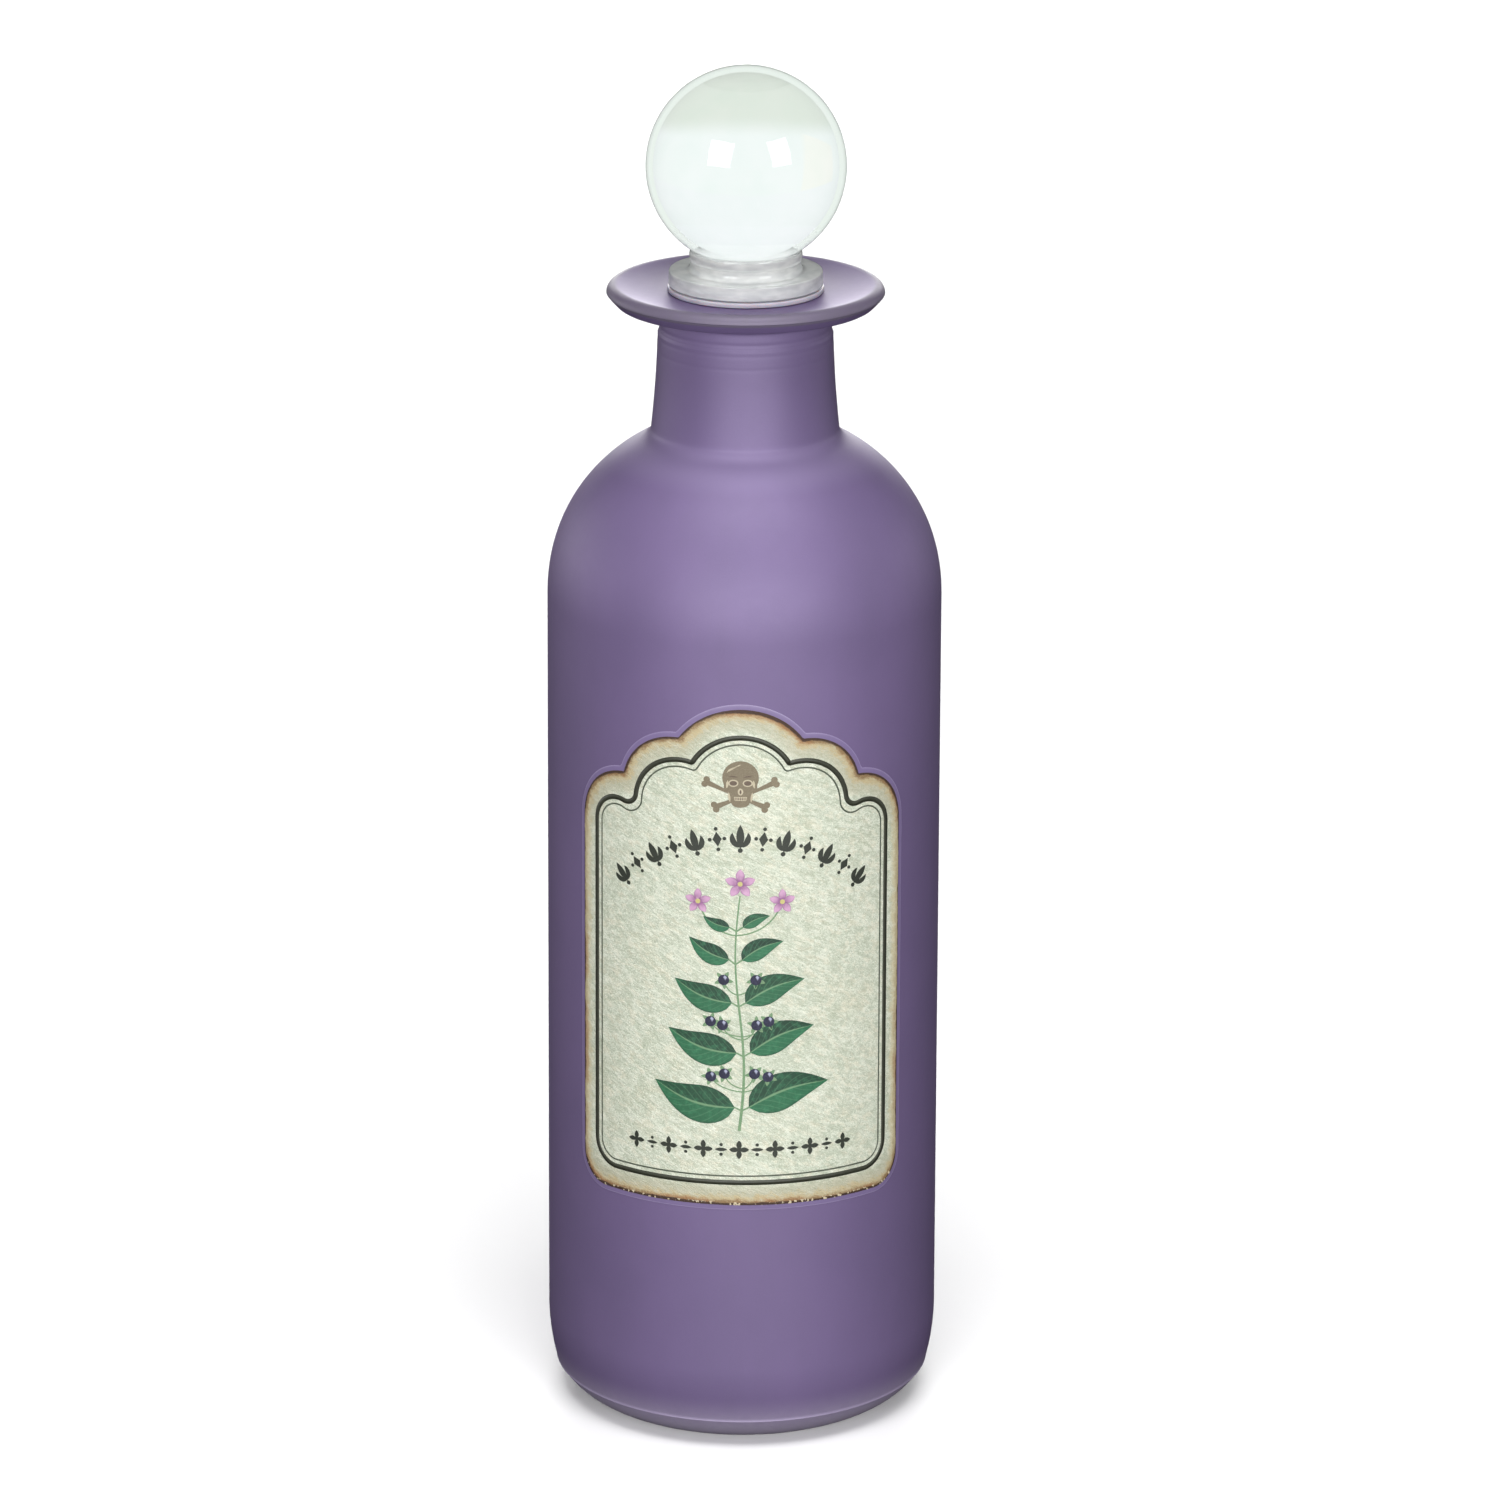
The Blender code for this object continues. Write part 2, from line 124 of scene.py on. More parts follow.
class Finish(Net):
    def __init__(self, name):
        self.material = bpy.data.materials.new(name)
        self.material.use_nodes = True
        super().__init__(self.material.node_tree)
        self.tree.nodes.clear()
        spot = self.node("ShaderNodeTexCoord", output="Object")
        self.place = self.node("ShaderNodeVectorMath", {0: spot, "Scale": 1 / mm}, operation="SCALE")

    def attribute(self, name):
        return self.node("ShaderNodeAttribute", output="Fac", attribute_name=name)

    def noise(self, scale, detail=2.0, roughness=0.5, distortion=0.0, stretch=None, turn=0.0):
        place = self.place
        if stretch:  # scales the place, after turning it about Y
            place = self.node("ShaderNodeMapping", {"Vector": place, "Rotation": (0, turn, 0),
                                                    "Scale": tuple(1 / factor for factor in stretch)},
                              vector_type="TEXTURE")
        return self.node("ShaderNodeTexNoise", {"Vector": place, "Scale": scale, "Detail": detail,
                                                "Roughness": roughness, "Distortion": distortion})

    def mix(self, factor, first, second):
        return self.node("ShaderNodeMix", {0: factor, 6: first, 7: second}, 2, data_type="RGBA")

    def coats(self, base, *coats):  # each coat is a mask and the colour that it lays on
        for mask, colour in coats:
            base = self.mix(mask, base, colour)
        return base

    def bump(self, height, distance, strength=1.0):
        values = {"Height": height, "Distance": distance * mm, "Strength": strength}
        return self.node("ShaderNodeBump", values, "Normal")

    def shader(self, **sockets):
        values = {key.replace("_", " "): value for key, value in sockets.items()}
        return self.node("ShaderNodeBsdfPrincipled", values)

    def done(self, shader=None, **sockets):
        self.node("ShaderNodeOutputMaterial", {"Surface": shader or self.shader(**sockets)})
        return self.material


# Curves in a flat plane, in millimetres

def arc(centre, radii, start, end, steps):  # one radius, or one across and one up
    wide, high = radii if isinstance(radii, tuple) else (radii, radii)
    angles = [start + (end - start) * step / steps for step in range(steps + 1)]
    return [(centre[0] + wide * math.cos(angle), centre[1] + high * math.sin(angle)) for angle in angles]


def bend(start, pull, end, steps):  # leaves start towards pull and reaches end from it
    points = []
    for step in range(steps + 1):
        t = step / steps
        points.append(tuple((1 - t) ** 2 * a + 2 * t * (1 - t) * b + t * t * c
                            for a, b, c in zip(start, pull, end)))
    return points


def bends(start, *parts):  # one bend after another
    points = [start]
    for pull, end, steps in parts:
        points += bend(points[-1], pull, end, steps)[1:]
    return points


def eased(corner, before, after, steps):  # rounds a corner, between two offsets from it
    x, y = corner
    return bend((x + before[0], y + before[1]), corner, (x + after[0], y + after[1]), steps)


def meeting(first, firstRadius, second, secondRadius):  # the upper point where two circles cross
    across = Vector(second) - Vector(first)
    span = across.length
    along = (firstRadius ** 2 - secondRadius ** 2 + span ** 2) / (2 * span)
    up = math.sqrt(firstRadius ** 2 - along ** 2)
    across.normalize()
    return Vector(first) + across * along + Vector((-across.y, across.x)) * up


def onCircle(centre, radius, towards):
    return centre + (towards - centre).normalized() * radius


def arcBetween(centre, radius, start, end, steps):  # the short way round from one point to another
    first = math.atan2(start[1] - centre[1], start[0] - centre[0])
    turn = math.atan2(end[1] - centre[1], end[0] - centre[0]) - first
    turn = (turn + math.pi) % (2 * math.pi) - math.pi
    return arc(centre, radius, first, first + turn, steps)


# Objects and node trees

def newPiece(name, mesh):
    piece = bpy.data.objects.new(name, mesh)
    bpy.context.scene.collection.objects.link(piece)
    return piece


def meshPiece(name, corners, edges=(), faces=()):
    mesh = bpy.data.meshes.new(name)
    mesh.from_pydata(corners, edges, faces)
    return newPiece(name, mesh)


def polyline(name, points, closed=False):  # a flat path, as the input of a node tree
    edges = [(i, i + 1) for i in range(len(points) - 1)]
    if closed:
        edges.append((len(points) - 1, 0))
    return meshPiece(name, [(x, y, 0) for x, y in points], edges)


def bareTree(name, *inputs):
    tree = bpy.data.node_groups.new(name, "GeometryNodeTree")
    for label, kind, value in (("Geometry", "Geometry", None), *inputs, ("Material", "Material", None)):
        socket = tree.interface.new_socket(label, in_out="INPUT", socket_type="NodeSocket" + kind)
        if value is not None:
            socket.default_value = value
    tree.interface.new_socket("Geometry", in_out="OUTPUT", socket_type="NodeSocketGeometry")
    net = Net(tree)
    return net, net.node("NodeGroupInput", output="Geometry")


def endTree(net, geometry, source):
    real = net.node("GeometryNodeRealizeInstances", {"Geometry": geometry})
    last = net.node("GeometryNodeSetMaterial", {"Geometry": real, "Material": source.out("Material")})
    net.node("NodeGroupOutput", {"Geometry": last})
    return net.tree


def runTree(piece, tree, material, **values):  # the tree's result becomes the piece's own mesh
    values["Material"] = material
    modifier = piece.modifiers.new(tree.name, "NODES")
    modifier.node_group = tree
    for item in tree.interface.items_tree:
        if item.in_out == "INPUT" and item.name in values:
            modifier[item.identifier] = values[item.name]
    graph = bpy.context.evaluated_depsgraph_get()
    mesh = bpy.data.meshes.new_from_object(piece.evaluated_get(graph))
    piece.modifiers.clear()
    piece.data = mesh
    return piece


def tidyShell(piece, angle):  # welds, turns the faces out and smooths the round ones
    shape = bmesh.new()
    shape.from_mesh(piece.data)
    bmesh.ops.remove_doubles(shape, verts=shape.verts, dist=0.002 * mm)
    bmesh.ops.recalc_face_normals(shape, faces=shape.faces)
    shape.to_mesh(piece.data)
    shape.free()
    piece.data.shade_smooth()
    piece.data.set_sharp_from_angle(angle=math.radians(angle))


# What the frame gives

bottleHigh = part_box("glass_bottle")[1]
paperLow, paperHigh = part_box("label_paper")
sealLow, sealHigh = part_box("seal_sleeve")
ballLow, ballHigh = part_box("stopper_ball")
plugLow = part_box("stopper_plug")[0]

print("frame loaded")


# Lathe: a profile of radius and height, swept round the axis by a node tree

def makeLatheTree():
    net, profile = bareTree("latheAboutAxis", ("Segments", "Int", 96))
    segments = profile.out("Segments")
    count = net.node("GeometryNodeAttributeDomainSize", {0: profile}, "Point Count", component="MESH")
    grid = net.node("GeometryNodeMeshGrid", {"Vertices X": segments + 1, "Vertices Y": count}, "Mesh")
    index = net.node("GeometryNodeInputIndex")
    turn = (index / count).whole() * (2 * math.pi) / segments
    spot = net.node("GeometryNodeSampleIndex", {"Geometry": profile, "Index": index.rest(count),
                                                "Value": net.node("GeometryNodeInputPosition")},
                    data_type="FLOAT_VECTOR", domain="POINT")
    parts = net.split(spot)
    radius = parts * mm
    place = net.point(X=radius * turn.cosine(), Y=radius * turn.sine(), Z=parts.out("Y") * mm)
    turned = net.node("GeometryNodeSetPosition", {"Geometry": grid, "Position": place})
    welded = net.node("GeometryNodeMergeByDistance", {"Geometry": turned, "Distance": 0.002 * mm})
    return endTree(net, welded, profile)


latheTree = makeLatheTree()


def turnedPiece(name, profile, segments, material, angle=40):
    piece = runTree(polyline(name, profile), latheTree, material, Segments=segments)
    tidyShell(piece, angle)
    return piece


# Vessel: glass with a satin purple lacquer

vesselSize = {
    "footRadius": 31.5, "footRing": 6.0, "pushUp": 4.0,
    "heelSeamRadius": 38.6, "heelSeamHeight": 5.9, "heelFullness": 0.37, "seamRidge": 0.16,
    "lowRadius": 40.3, "lowHeight": 18.0, "topRadius": 39.9, "topHeight": 171.4,
    "shoulderRise": 32.2, "shoulderPower": 2.105, "shoulderTopRadius": 21.5,
    "neckFootRadius": 18.9, "neckFillet": 3.0, "neckPull": 1.4, "neckHollow": 0.2, "neckSteps": 110,
    "neckLineRadius": 17.6, "neckLineHeight": 226.0, "neckTopRadius": 17.35, "neckTopStep": 0.2,
    "mouldLines": ((227.3, 0.08), (225.1, 0.04), (222.4, 0.03)), "mouldLineWidth": 0.8,
    "lipUnder": 230.1, "lipUnderFillet": 0.8, "lipOverhang": 10.5, "lipRounding": (1.9, 1.7),
    "underEdge": (2.1, 1.8), "underEdgeBend": ((-0.8, -0.2), (0.3, 0.3)),
    "rimCorner": (0.35, 3.6), "rimCornerBend": ((-0.3, -0.3), (0.04, 0.3)),
    "dishDepth": 1.5, "flatRadius": 15.65, "boreRadius": 13.9, "boreRounding": 0.6, "boreFlare": 8.5,
    "neckWall": 3.7, "bodyWall": 3.1, "baseGlass": 8.0, "innerHeel": 13.0, "segments": 240,
}


def bodyRadius(height):  # the straight wall tapers a little
    size = vesselSize
    share = (height - size["lowHeight"]) / (size["topHeight"] - size["lowHeight"])
    return size["lowRadius"] + (size["topRadius"] - size["lowRadius"]) * share


def shoulderCurve(widest, top, start, rise, steps):
    power = vesselSize["shoulderPower"]
    fullRise = rise / (1 - (top / widest) ** power) ** (1 / power)
    topAngle = math.acos((top / widest) ** (power / 2))
    angles = [topAngle * step / steps for step in range(steps + 1)]
    return [(widest * math.cos(angle) ** (2 / power), start + fullRise * math.sin(angle) ** (2 / power))
            for angle in angles]


def heelProfile(size):
    ridge, full = size["seamRidge"], size["heelFullness"]
    foot, body = (size["footRadius"], 0), (size["lowRadius"], size["lowHeight"])
    seam = (size["heelSeamRadius"], size["heelSeamHeight"])
    middle = ((foot[0] + seam[0]) / 2, (foot[1] + seam[1]) / 2)
    pull = (middle[0] + (seam[0] - middle[0]) * full, middle[1] + (foot[1] - middle[1]) * full)
    above = (seam[0] + ridge, seam[1] + ridge)
    return bends(foot, (pull, seam, 18), ((seam[0] + 2 * ridge, seam[1]), above, 4),
                 ((body[0], (above[1] + body[1]) / 2), body, 18))


def neckProfile(size):
    shoulderTop = (size["shoulderTopRadius"], size["topHeight"] + size["shoulderRise"])
    foot = (size["neckFootRadius"], shoulderTop[1] + size["neckFillet"])
    line = (size["neckLineRadius"], size["neckLineHeight"])
    points = bend(shoulderTop, (foot[0], shoulderTop[1] + size["neckPull"]), foot, 12)[1:]
    steps, hollow = size["neckSteps"], size["neckHollow"]
    places = [(foot[0] + (line[0] - foot[0]) * step / steps - hollow * math.sin(math.pi * step / steps),
               foot[1] + (line[1] - foot[1]) * step / steps) for step in range(1, steps + 1)]
    places += [(size["neckTopRadius"], line[1] + size["neckTopStep"] * step) for step in range(2, 16)]
    for radius, height in places:
        for lineHeight, depth in size["mouldLines"]:
            radius -= depth * math.exp(-((height - lineHeight) / (size["mouldLineWidth"] / 2)) ** 2)
        points.append((radius, height))
    return points


def lipProfile(size):
    neck, under, soft = size["neckTopRadius"], size["lipUnder"], size["lipUnderFillet"]
    rim, top = neck + size["lipOverhang"], bottleHigh.z / mm
    points = eased((neck, under), (0, -soft), (soft, 0), 6)
    for name, steps in (("underEdge", 4), ("rimCorner", 6)):
        inset, rise = size[name]
        points += eased((rim - inset, under + rise), *size[name + "Bend"], steps)
    wide, high = size["lipRounding"]
    points += arc((rim - wide, top - high), (wide, high), 0, quarter, 14)
    flat, dish = size["flatRadius"], top - size["dishDepth"]
    points += bend((rim - wide, top), ((rim - wide + flat) / 2, dish), (flat, dish), 14)[1:]
    edge = size["boreRounding"]
    return points + eased((size["boreRadius"], dish), (edge, 0), (0, -edge), 5)


def insideProfile(size):
    heel, wall = size["innerHeel"], size["bodyWall"]
    low, shoulderTop = size["lowRadius"] - wall, size["topHeight"] + size["shoulderRise"]
    points = [(size["boreRadius"], shoulderTop + size["boreFlare"]),
              (size["neckFootRadius"] - size["neckWall"], shoulderTop)]
    points += reversed(shoulderCurve(size["topRadius"] - wall, size["shoulderTopRadius"] - wall,
                                     size["topHeight"], size["shoulderRise"] - wall, 24))
    points += arc((low - heel, size["baseGlass"] + heel), heel, 0, -quarter, 12)
    return points + arc((0, size["baseGlass"]), (low - heel, size["pushUp"]), 0, quarter, 10)[1:]


def satinLacquer():  # a purple lacquer, thinner and greyer round the lip's rim; painted light makes the foot and a band on the shoulder paler
    net = Finish("satinLacquer")
    parts = net.split(net.place)
    radius, height = (parts * parts + parts.out("Y") * parts.out("Y")) ** 0.5, parts.out("Z")
    cloud, mist = net.noise(0.035, 3.0, 0.55), net.noise(0.09, 4.0, 0.6, stretch=(1, 1, 0.25))
    grain, worn = net.noise(5.5, 2.0, 0.6), net.noise(0.6, 5.0, 0.65)
    rim = radius.rise(25.2, 26.6) * height.rise(233.3, 233.8)
    foot, shoulderHighlight = height.rise(12, 0.8), height.rise(198.5, 202.5) * height.rise(207.5, 204.5)
    base = net.coats(
        net.mix(cloud.rise(0.3, 0.7), (0.134, 0.097, 0.207, 1), (0.148, 0.106, 0.225, 1)),
        (mist.rise(0.35, 0.75) * 0.3, (0.125, 0.094, 0.187, 1)),
        (grain.rise(0.35, 0.75) * 0.25, (0.17, 0.134, 0.24, 1)),
        (worn.rise(0.66, 0.8) * 0.12, (0.18, 0.145, 0.25, 1)),
        (rim * (0.6 + worn * 0.4), (0.118, 0.103, 0.138, 1)),
        # painted light: the foot, from 12 mm down, turns much paler, as if lit by the white floor's
        # reflection
        (foot * (0.6 + worn * 0.4), (0.41, 0.365, 0.48, 1)),
        # painted highlight: a paler band round the top of the shoulder, 198.5 to 207.5 mm up
        (shoulderHighlight * 0.6, (0.215, 0.168, 0.305, 1)))
    heights = net.noise(1.6, 3.0, 0.6) * 0.7 + grain * 0.3
    return net.done(Base_Color=base, Metallic=0.2, Roughness=worn * 0.1 + grain * 0.06 + 0.47,
                    Normal=net.bump(heights, 0.025, 0.55))


def makeVessel():
    size = vesselSize
    profile = arc((0, 0), (size["footRadius"] - size["footRing"], size["pushUp"]), quarter, 0, 12)
    profile += heelProfile(size) + shoulderCurve(size["topRadius"], size["shoulderTopRadius"],
                                                 size["topHeight"], size["shoulderRise"], 40)
    profile += neckProfile(size) + lipProfile(size) + insideProfile(size)
    vessel = turnedPiece("bottle_shell", profile, size["segments"], satinLacquer(), 50)
    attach(vessel, "bottle")
    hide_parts("glass_bottle")


makeVessel()
print("vessel turned")


# Stopper: clear ball, cup collar, disc and hollow peg as one clear solid

stopperSize = {
    "collarRadius": 11.0, "rimWidth": 0.4, "beadHeight": 2.1, "beadBulge": 0.3, "coveHeight": 2.0,
    "coveWidth": 1.4, "discRadius": 15.4, "discThickness": 2.9, "discEdge": 0.35, "discDraft": 0.1,
    "seatGap": 0.3, "pegRadius": 10.7, "pegWall": 1.7, "pegRounding": 0.8, "pegEdge": 0.2, "segments": 160,
}


def clearAcrylic():  # polished ball with a painted grey rim, and below it a moulding mixed with a milky white that paints in its refracted light and reflections
    net = Finish("clearAcrylic")
    height = net.split(net.place).out("Z")
    smear, dust = net.noise(0.12, 3.0, 0.6), net.noise(2.2, 2.0, 0.7)
    wave, flow = net.noise(0.05, 1.0, 0.4), net.noise(0.2, 2.0, 0.5, stretch=(1, 1, 3.0))
    facing = net.node("ShaderNodeLayerWeight", {"Blend": 0.5}).out("Facing")
    behind = net.node("ShaderNodeNewGeometry").out("Backfacing")
    moulded = height.rise(243.4, 242.2)
    clear = net.shader(
        Base_Color=net.mix(smear.rise(0.35, 0.75), hue(250, 253, 252), hue(243, 250, 247)), IOR=1.49,
        Roughness=smear.rise(0.5, 0.9) * 0.03 + dust.rise(0.7, 0.85) * 0.05 + moulded * 0.05 + 0.004,
        Normal=net.bump(wave, 0.25, 0.25), Transmission_Weight=1.0)
    # painted light: a milky white with paler streaks, standing in for the white light and reflections that
    # the clear moulding would show
    milkyPaintedLight = net.shader(
        Base_Color=net.mix(flow.rise(0.3, 0.7), hue(236, 237, 238), hue(254, 254, 252)), IOR=1.49,
        Roughness=flow * 0.1 + 0.06, Normal=net.bump(flow, 0.05, 0.4))
    # painted shade: near the silhouette the ball turns grey and barely bends light, in place of what its rim
    # would refract
    paintedRimShade = net.shader(
        Base_Color=net.mix(facing.rise(0.7, 1), hue(236, 241, 236), hue(176, 178, 178)), IOR=1.03,
        Roughness=smear * 0.02, Transmission_Weight=1.0)
    # how much painted milky light the moulding below the ball takes
    haze = moulded * (flow.rise(0.3, 0.7) * 0.12 + 0.6)
    # where the painted grey rim shows: the ball's silhouette, above the collar
    edge = facing.rise(0.6, 0.64) * (1 - behind) + facing.above(0.42) * behind
    inner = net.node("ShaderNodeMixShader", {0: haze, 1: clear, 2: milkyPaintedLight})
    return net.done(net.node("ShaderNodeMixShader", {0: edge * height.rise(243.5, 247), 1: inner, 2: paintedRimShade}))


def makeStopper():
    size = stopperSize
    ballRadius, centre = (ballHigh.z - ballLow.z) / 2 / mm, (ballHigh.z + ballLow.z) / 2 / mm
    collar, disc, bead = size["collarRadius"], size["discRadius"], size["beadHeight"] / 2
    under = sealHigh.z / mm + size["seatGap"]
    discTop = under + size["discThickness"]
    coveTop = discTop + size["coveHeight"]
    rimAngle = math.acos((collar - size["rimWidth"]) / ballRadius)
    profile = arc((0, centre), ballRadius, quarter, -rimAngle, 72)
    profile += arc((collar, coveTop + bead), (size["beadBulge"], bead), quarter, -quarter, 10)
    profile += bend((collar, coveTop), (collar, discTop), (collar + size["coveWidth"], discTop), 8)[1:]
    edge = size["discEdge"]
    profile += arc((disc - edge, discTop - edge), edge, quarter, 0, 5)
    profile += arc((disc + size["discDraft"] - edge, under + edge), edge, 0, -quarter, 5)
    pegEnd, peg, soft = plugLow.z / mm, size["pegRadius"], size["pegRounding"]
    hollow, edge = peg - size["pegWall"], size["pegEdge"]
    profile += [(peg, under)] + arc((peg - soft, pegEnd + soft), soft, 0, -quarter, 5)
    profile += eased((hollow, pegEnd), (edge, 0), (0, edge), 3)
    profile += arc((hollow - soft, under - soft), soft, 0, quarter, 5) + [(0, under)]
    stopper = turnedPiece("ball_stopper", profile, size["segments"], clearAcrylic(), 35)
    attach(stopper, "stopper")
    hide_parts("stopper_plug", "stopper_ball")


makeStopper()
print("stopper turned")


# Seal: a soft milky sleeve with drooping fins

sealSize = {
    "outerRadius": 12.1, "wall": 1.1, "flangeRadius": 15.65, "flange": 1.0, "length": 21.0, "endLip": 0.8,
    "fins": 4, "finDepth": 1.5, "finThickness": 0.9, "finDroop": 0.7, "finRootBend": ((0, 0.5), (0.4, -0.2)),
    "endBend": ((-0.3, 0.8), 0.2), "rounding": 0.25, "segments": 144,
}


def softSeal():
    net = Finish("softSeal")
    milk, pits = net.noise(0.25, 3.0, 0.55), net.noise(3.0, 2.0, 0.6)
    tone = net.mix(milk.rise(0.3, 0.75), hue(182, 178, 188), hue(166, 163, 172))
    return net.done(Base_Color=tone, Roughness=pits * 0.15 + 0.32, Normal=net.bump(pits, 0.02, 0.5),
                    Subsurface_Weight=0.35, Subsurface_Scale=2 * mm)


def makeSeal():
    size = sealSize
    top, end, outer, wall = sealHigh.z / mm, sealLow.z / mm, size["outerRadius"], size["wall"]
    seat, inner, finRadius = top - size["flange"], outer - wall, outer + size["finDepth"]
    thick, droop, soft = size["finThickness"], size["finDroop"], size["rounding"]
    flange = size["flangeRadius"]
    profile = [(inner, top)] + arc((flange - soft, top - soft), soft, quarter, 0, 4)
    profile += arc((flange - soft, seat + soft), soft, 0, -quarter, 4)
    profile += eased((outer, seat), (soft, 0), (0, -soft), 3)
    for fin in range(1, size["fins"] + 1):
        root = seat - fin * size["length"] / (size["fins"] + 1)
        profile += eased((outer, root + thick), *size["finRootBend"], 3)
        tip = (finRadius - thick / 3, root - droop + thick / 2)
        profile += arc(tip, (thick / 3, thick / 2), quarter, -quarter, 6) + [(outer, root)]
    (inset, rise), pull = size["endBend"]
    profile.append((outer, end + wall))
    profile += bend((outer + inset, end + rise), (inner + pull, end), (inner - soft, end), 5)
    lip = (inner - size["endLip"] + soft, end + wall / 2)
    profile += arc(lip, (soft, wall / 2), -quarter, -3 * quarter, 6) + [(inner, end + wall), (inner, top)]
    seal = turnedPiece("seal_ring", profile, size["segments"], softSeal(), 40)
    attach(seal, "seal")
    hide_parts("seal_sleeve")


makeSeal()
print("seal turned")


# Label: flat places are the way round from the middle of the front, and the height

labelSize = {
    "halfWidth": 36.0, "bottom": paperLow.z / mm, "apex": paperHigh.z / mm, "bottomCorner": 6.5,
    "scallops": ((0, 0, 15.3), (13.284, 6.45, 11.85), (24.6, 15.4, 11.4)),  # centre, drop and radius
    "filmMargin": 1.05, "filmGrid": (200, 36), "paperGrid": (260, 90), "flatSpan": (2.2, 1.05),
    "unroll": 39.9, "filmRollOff": 0.05, "paperRollOff": 0.04, "rollOffWidth": 0.12,
    "filmLift": (0.01, 0.11), "paperLift": (0.11, 0.23), "inkLift": 0.245, "inkBody": 0.015,
}


def labelTop(across, margin):
    size = labelSize
    highest = size["apex"] - sum(size["scallops"][-1][1:])
    for centre, drop, radius in size["scallops"]:
        inside = (radius + margin) ** 2 - (abs(across) - centre) ** 2
        if inside > 0:
            highest = max(highest, size["apex"] - drop - radius + math.sqrt(inside))
    return highest


def labelBottom(across, margin):
    corner = labelSize["bottomCorner"] + margin
    past = max(0, abs(across) - (labelSize["halfWidth"] - labelSize["bottomCorner"]))
    return labelSize["bottom"] - margin + corner - math.sqrt(max(0, corner ** 2 - past ** 2))


def onBody(across, height, lift):  # a flat label place laid on the round wall
    angle, radius = across / labelSize["unroll"], bodyRadius(height) + lift
    return Vector((math.sin(angle) * radius, -math.cos(angle) * radius, height)) * mm


def outlineTree(margin, half, steps=900, sideSteps=600):  # finds how far a place is from the sheet's edge
    points = []
    for step in range(steps + 1):
        across = -half * math.cos(math.pi * step / steps)
        points += [(across, labelTop(across, margin)), (across, labelBottom(across, margin))]
    low, high = labelBottom(half, margin), labelTop(half, margin)
    for step in range(sideSteps):
        height = low + (high - low) * step / sideSteps
        points += [(-half, height), (half, height)]
    tree = KDTree(len(points))
    for index, (x, y) in enumerate(points):
        tree.insert((x, y, 0), index)
    tree.balance()
    return tree


def labelSheet(name, margin, lifts, grid, rollOff, material):
    size, (columns, rows) = labelSize, grid
    wideSpan, tallSpan = size["flatSpan"]
    shape = bmesh.new()
    depthLayer = shape.verts.layers.float.new("edgeDepth")
    flatLayer = shape.loops.layers.uv.new("flat")
    half, tall = size["halfWidth"] + margin, size["apex"] - size["bottom"]
    edge = outlineTree(margin, half)
    flat, sides = {}, []
    for lift in lifts:
        side = []
        for column in range(columns + 1):
            across = -half * math.cos(math.pi * column / columns)
            low, high = labelBottom(across, margin), labelTop(across, margin)
            strip = []
            for row in range(rows + 1):
                height = low + (high - low) * (1 - math.cos(math.pi * row / rows)) / 2
                depth = edge.find((across, height, 0))[2]
                drop = rollOff * math.exp(-depth / size["rollOffWidth"]) if lift == lifts[1] else 0
                corner = shape.verts.new(onBody(across, height, lift - drop))
                corner[depthLayer] = depth
                flat[corner] = (across, height)
                strip.append(corner)
            side.append(strip)
        sides.append(side)
    back, front = sides
    for a, b in zip(range(columns), range(1, columns + 1)):
        for c, d in zip(range(rows), range(1, rows + 1)):
            shape.faces.new((front[a][c], front[b][c], front[b][d], front[a][d]))
            shape.faces.new((back[a][c], back[a][d], back[b][d], back[b][c]))
        shape.faces.new((back[a][0], back[b][0], front[b][0], front[a][0]))
        shape.faces.new((front[a][-1], front[b][-1], back[b][-1], back[a][-1]))
    for c, d in zip(range(rows), range(1, rows + 1)):
        shape.faces.new((back[0][c], front[0][c], front[0][d], back[0][d]))
        shape.faces.new((front[-1][c], back[-1][c], back[-1][d], front[-1][d]))
    for face in shape.faces:
        for loop in face.loops:
            across, height = flat[loop.vert]
            loop[flatLayer].uv = (across / (wideSpan * size["halfWidth"]) + 0.5,
                                  (height - size["bottom"] + margin) / (tallSpan * tall))
    mesh = bpy.data.meshes.new(name)
    bmesh.ops.recalc_face_normals(shape, faces=shape.faces)
    shape.to_mesh(mesh)
    shape.free()
    mesh.shade_smooth()
    mesh.set_sharp_from_angle(angle=math.radians(40))
    mesh.materials.append(material)
    return newPiece(name, mesh)


def clearFilm():  # clear, so the lacquer shows through it a little paler, with a painted highlight along its edge
    net = Finish("clearFilm")
    haze = net.noise(0.8, 3.0, 0.6)
    # painted highlight: the film's edge painted paler, as light catching its rim
    rim = net.attribute("edgeDepth").rise(0.3, 0.05)
    tone = net.coats((0.168, 0.128, 0.25, 1), (rim, (0.235, 0.19, 0.325, 1)),
                     (haze.rise(0.4, 0.8) * 0.3, (0.14, 0.107, 0.212, 1)))
    return net.done(Base_Color=tone, Roughness=haze * 0.1 + 0.33, Normal=net.bump(haze, 0.02, 0.4))


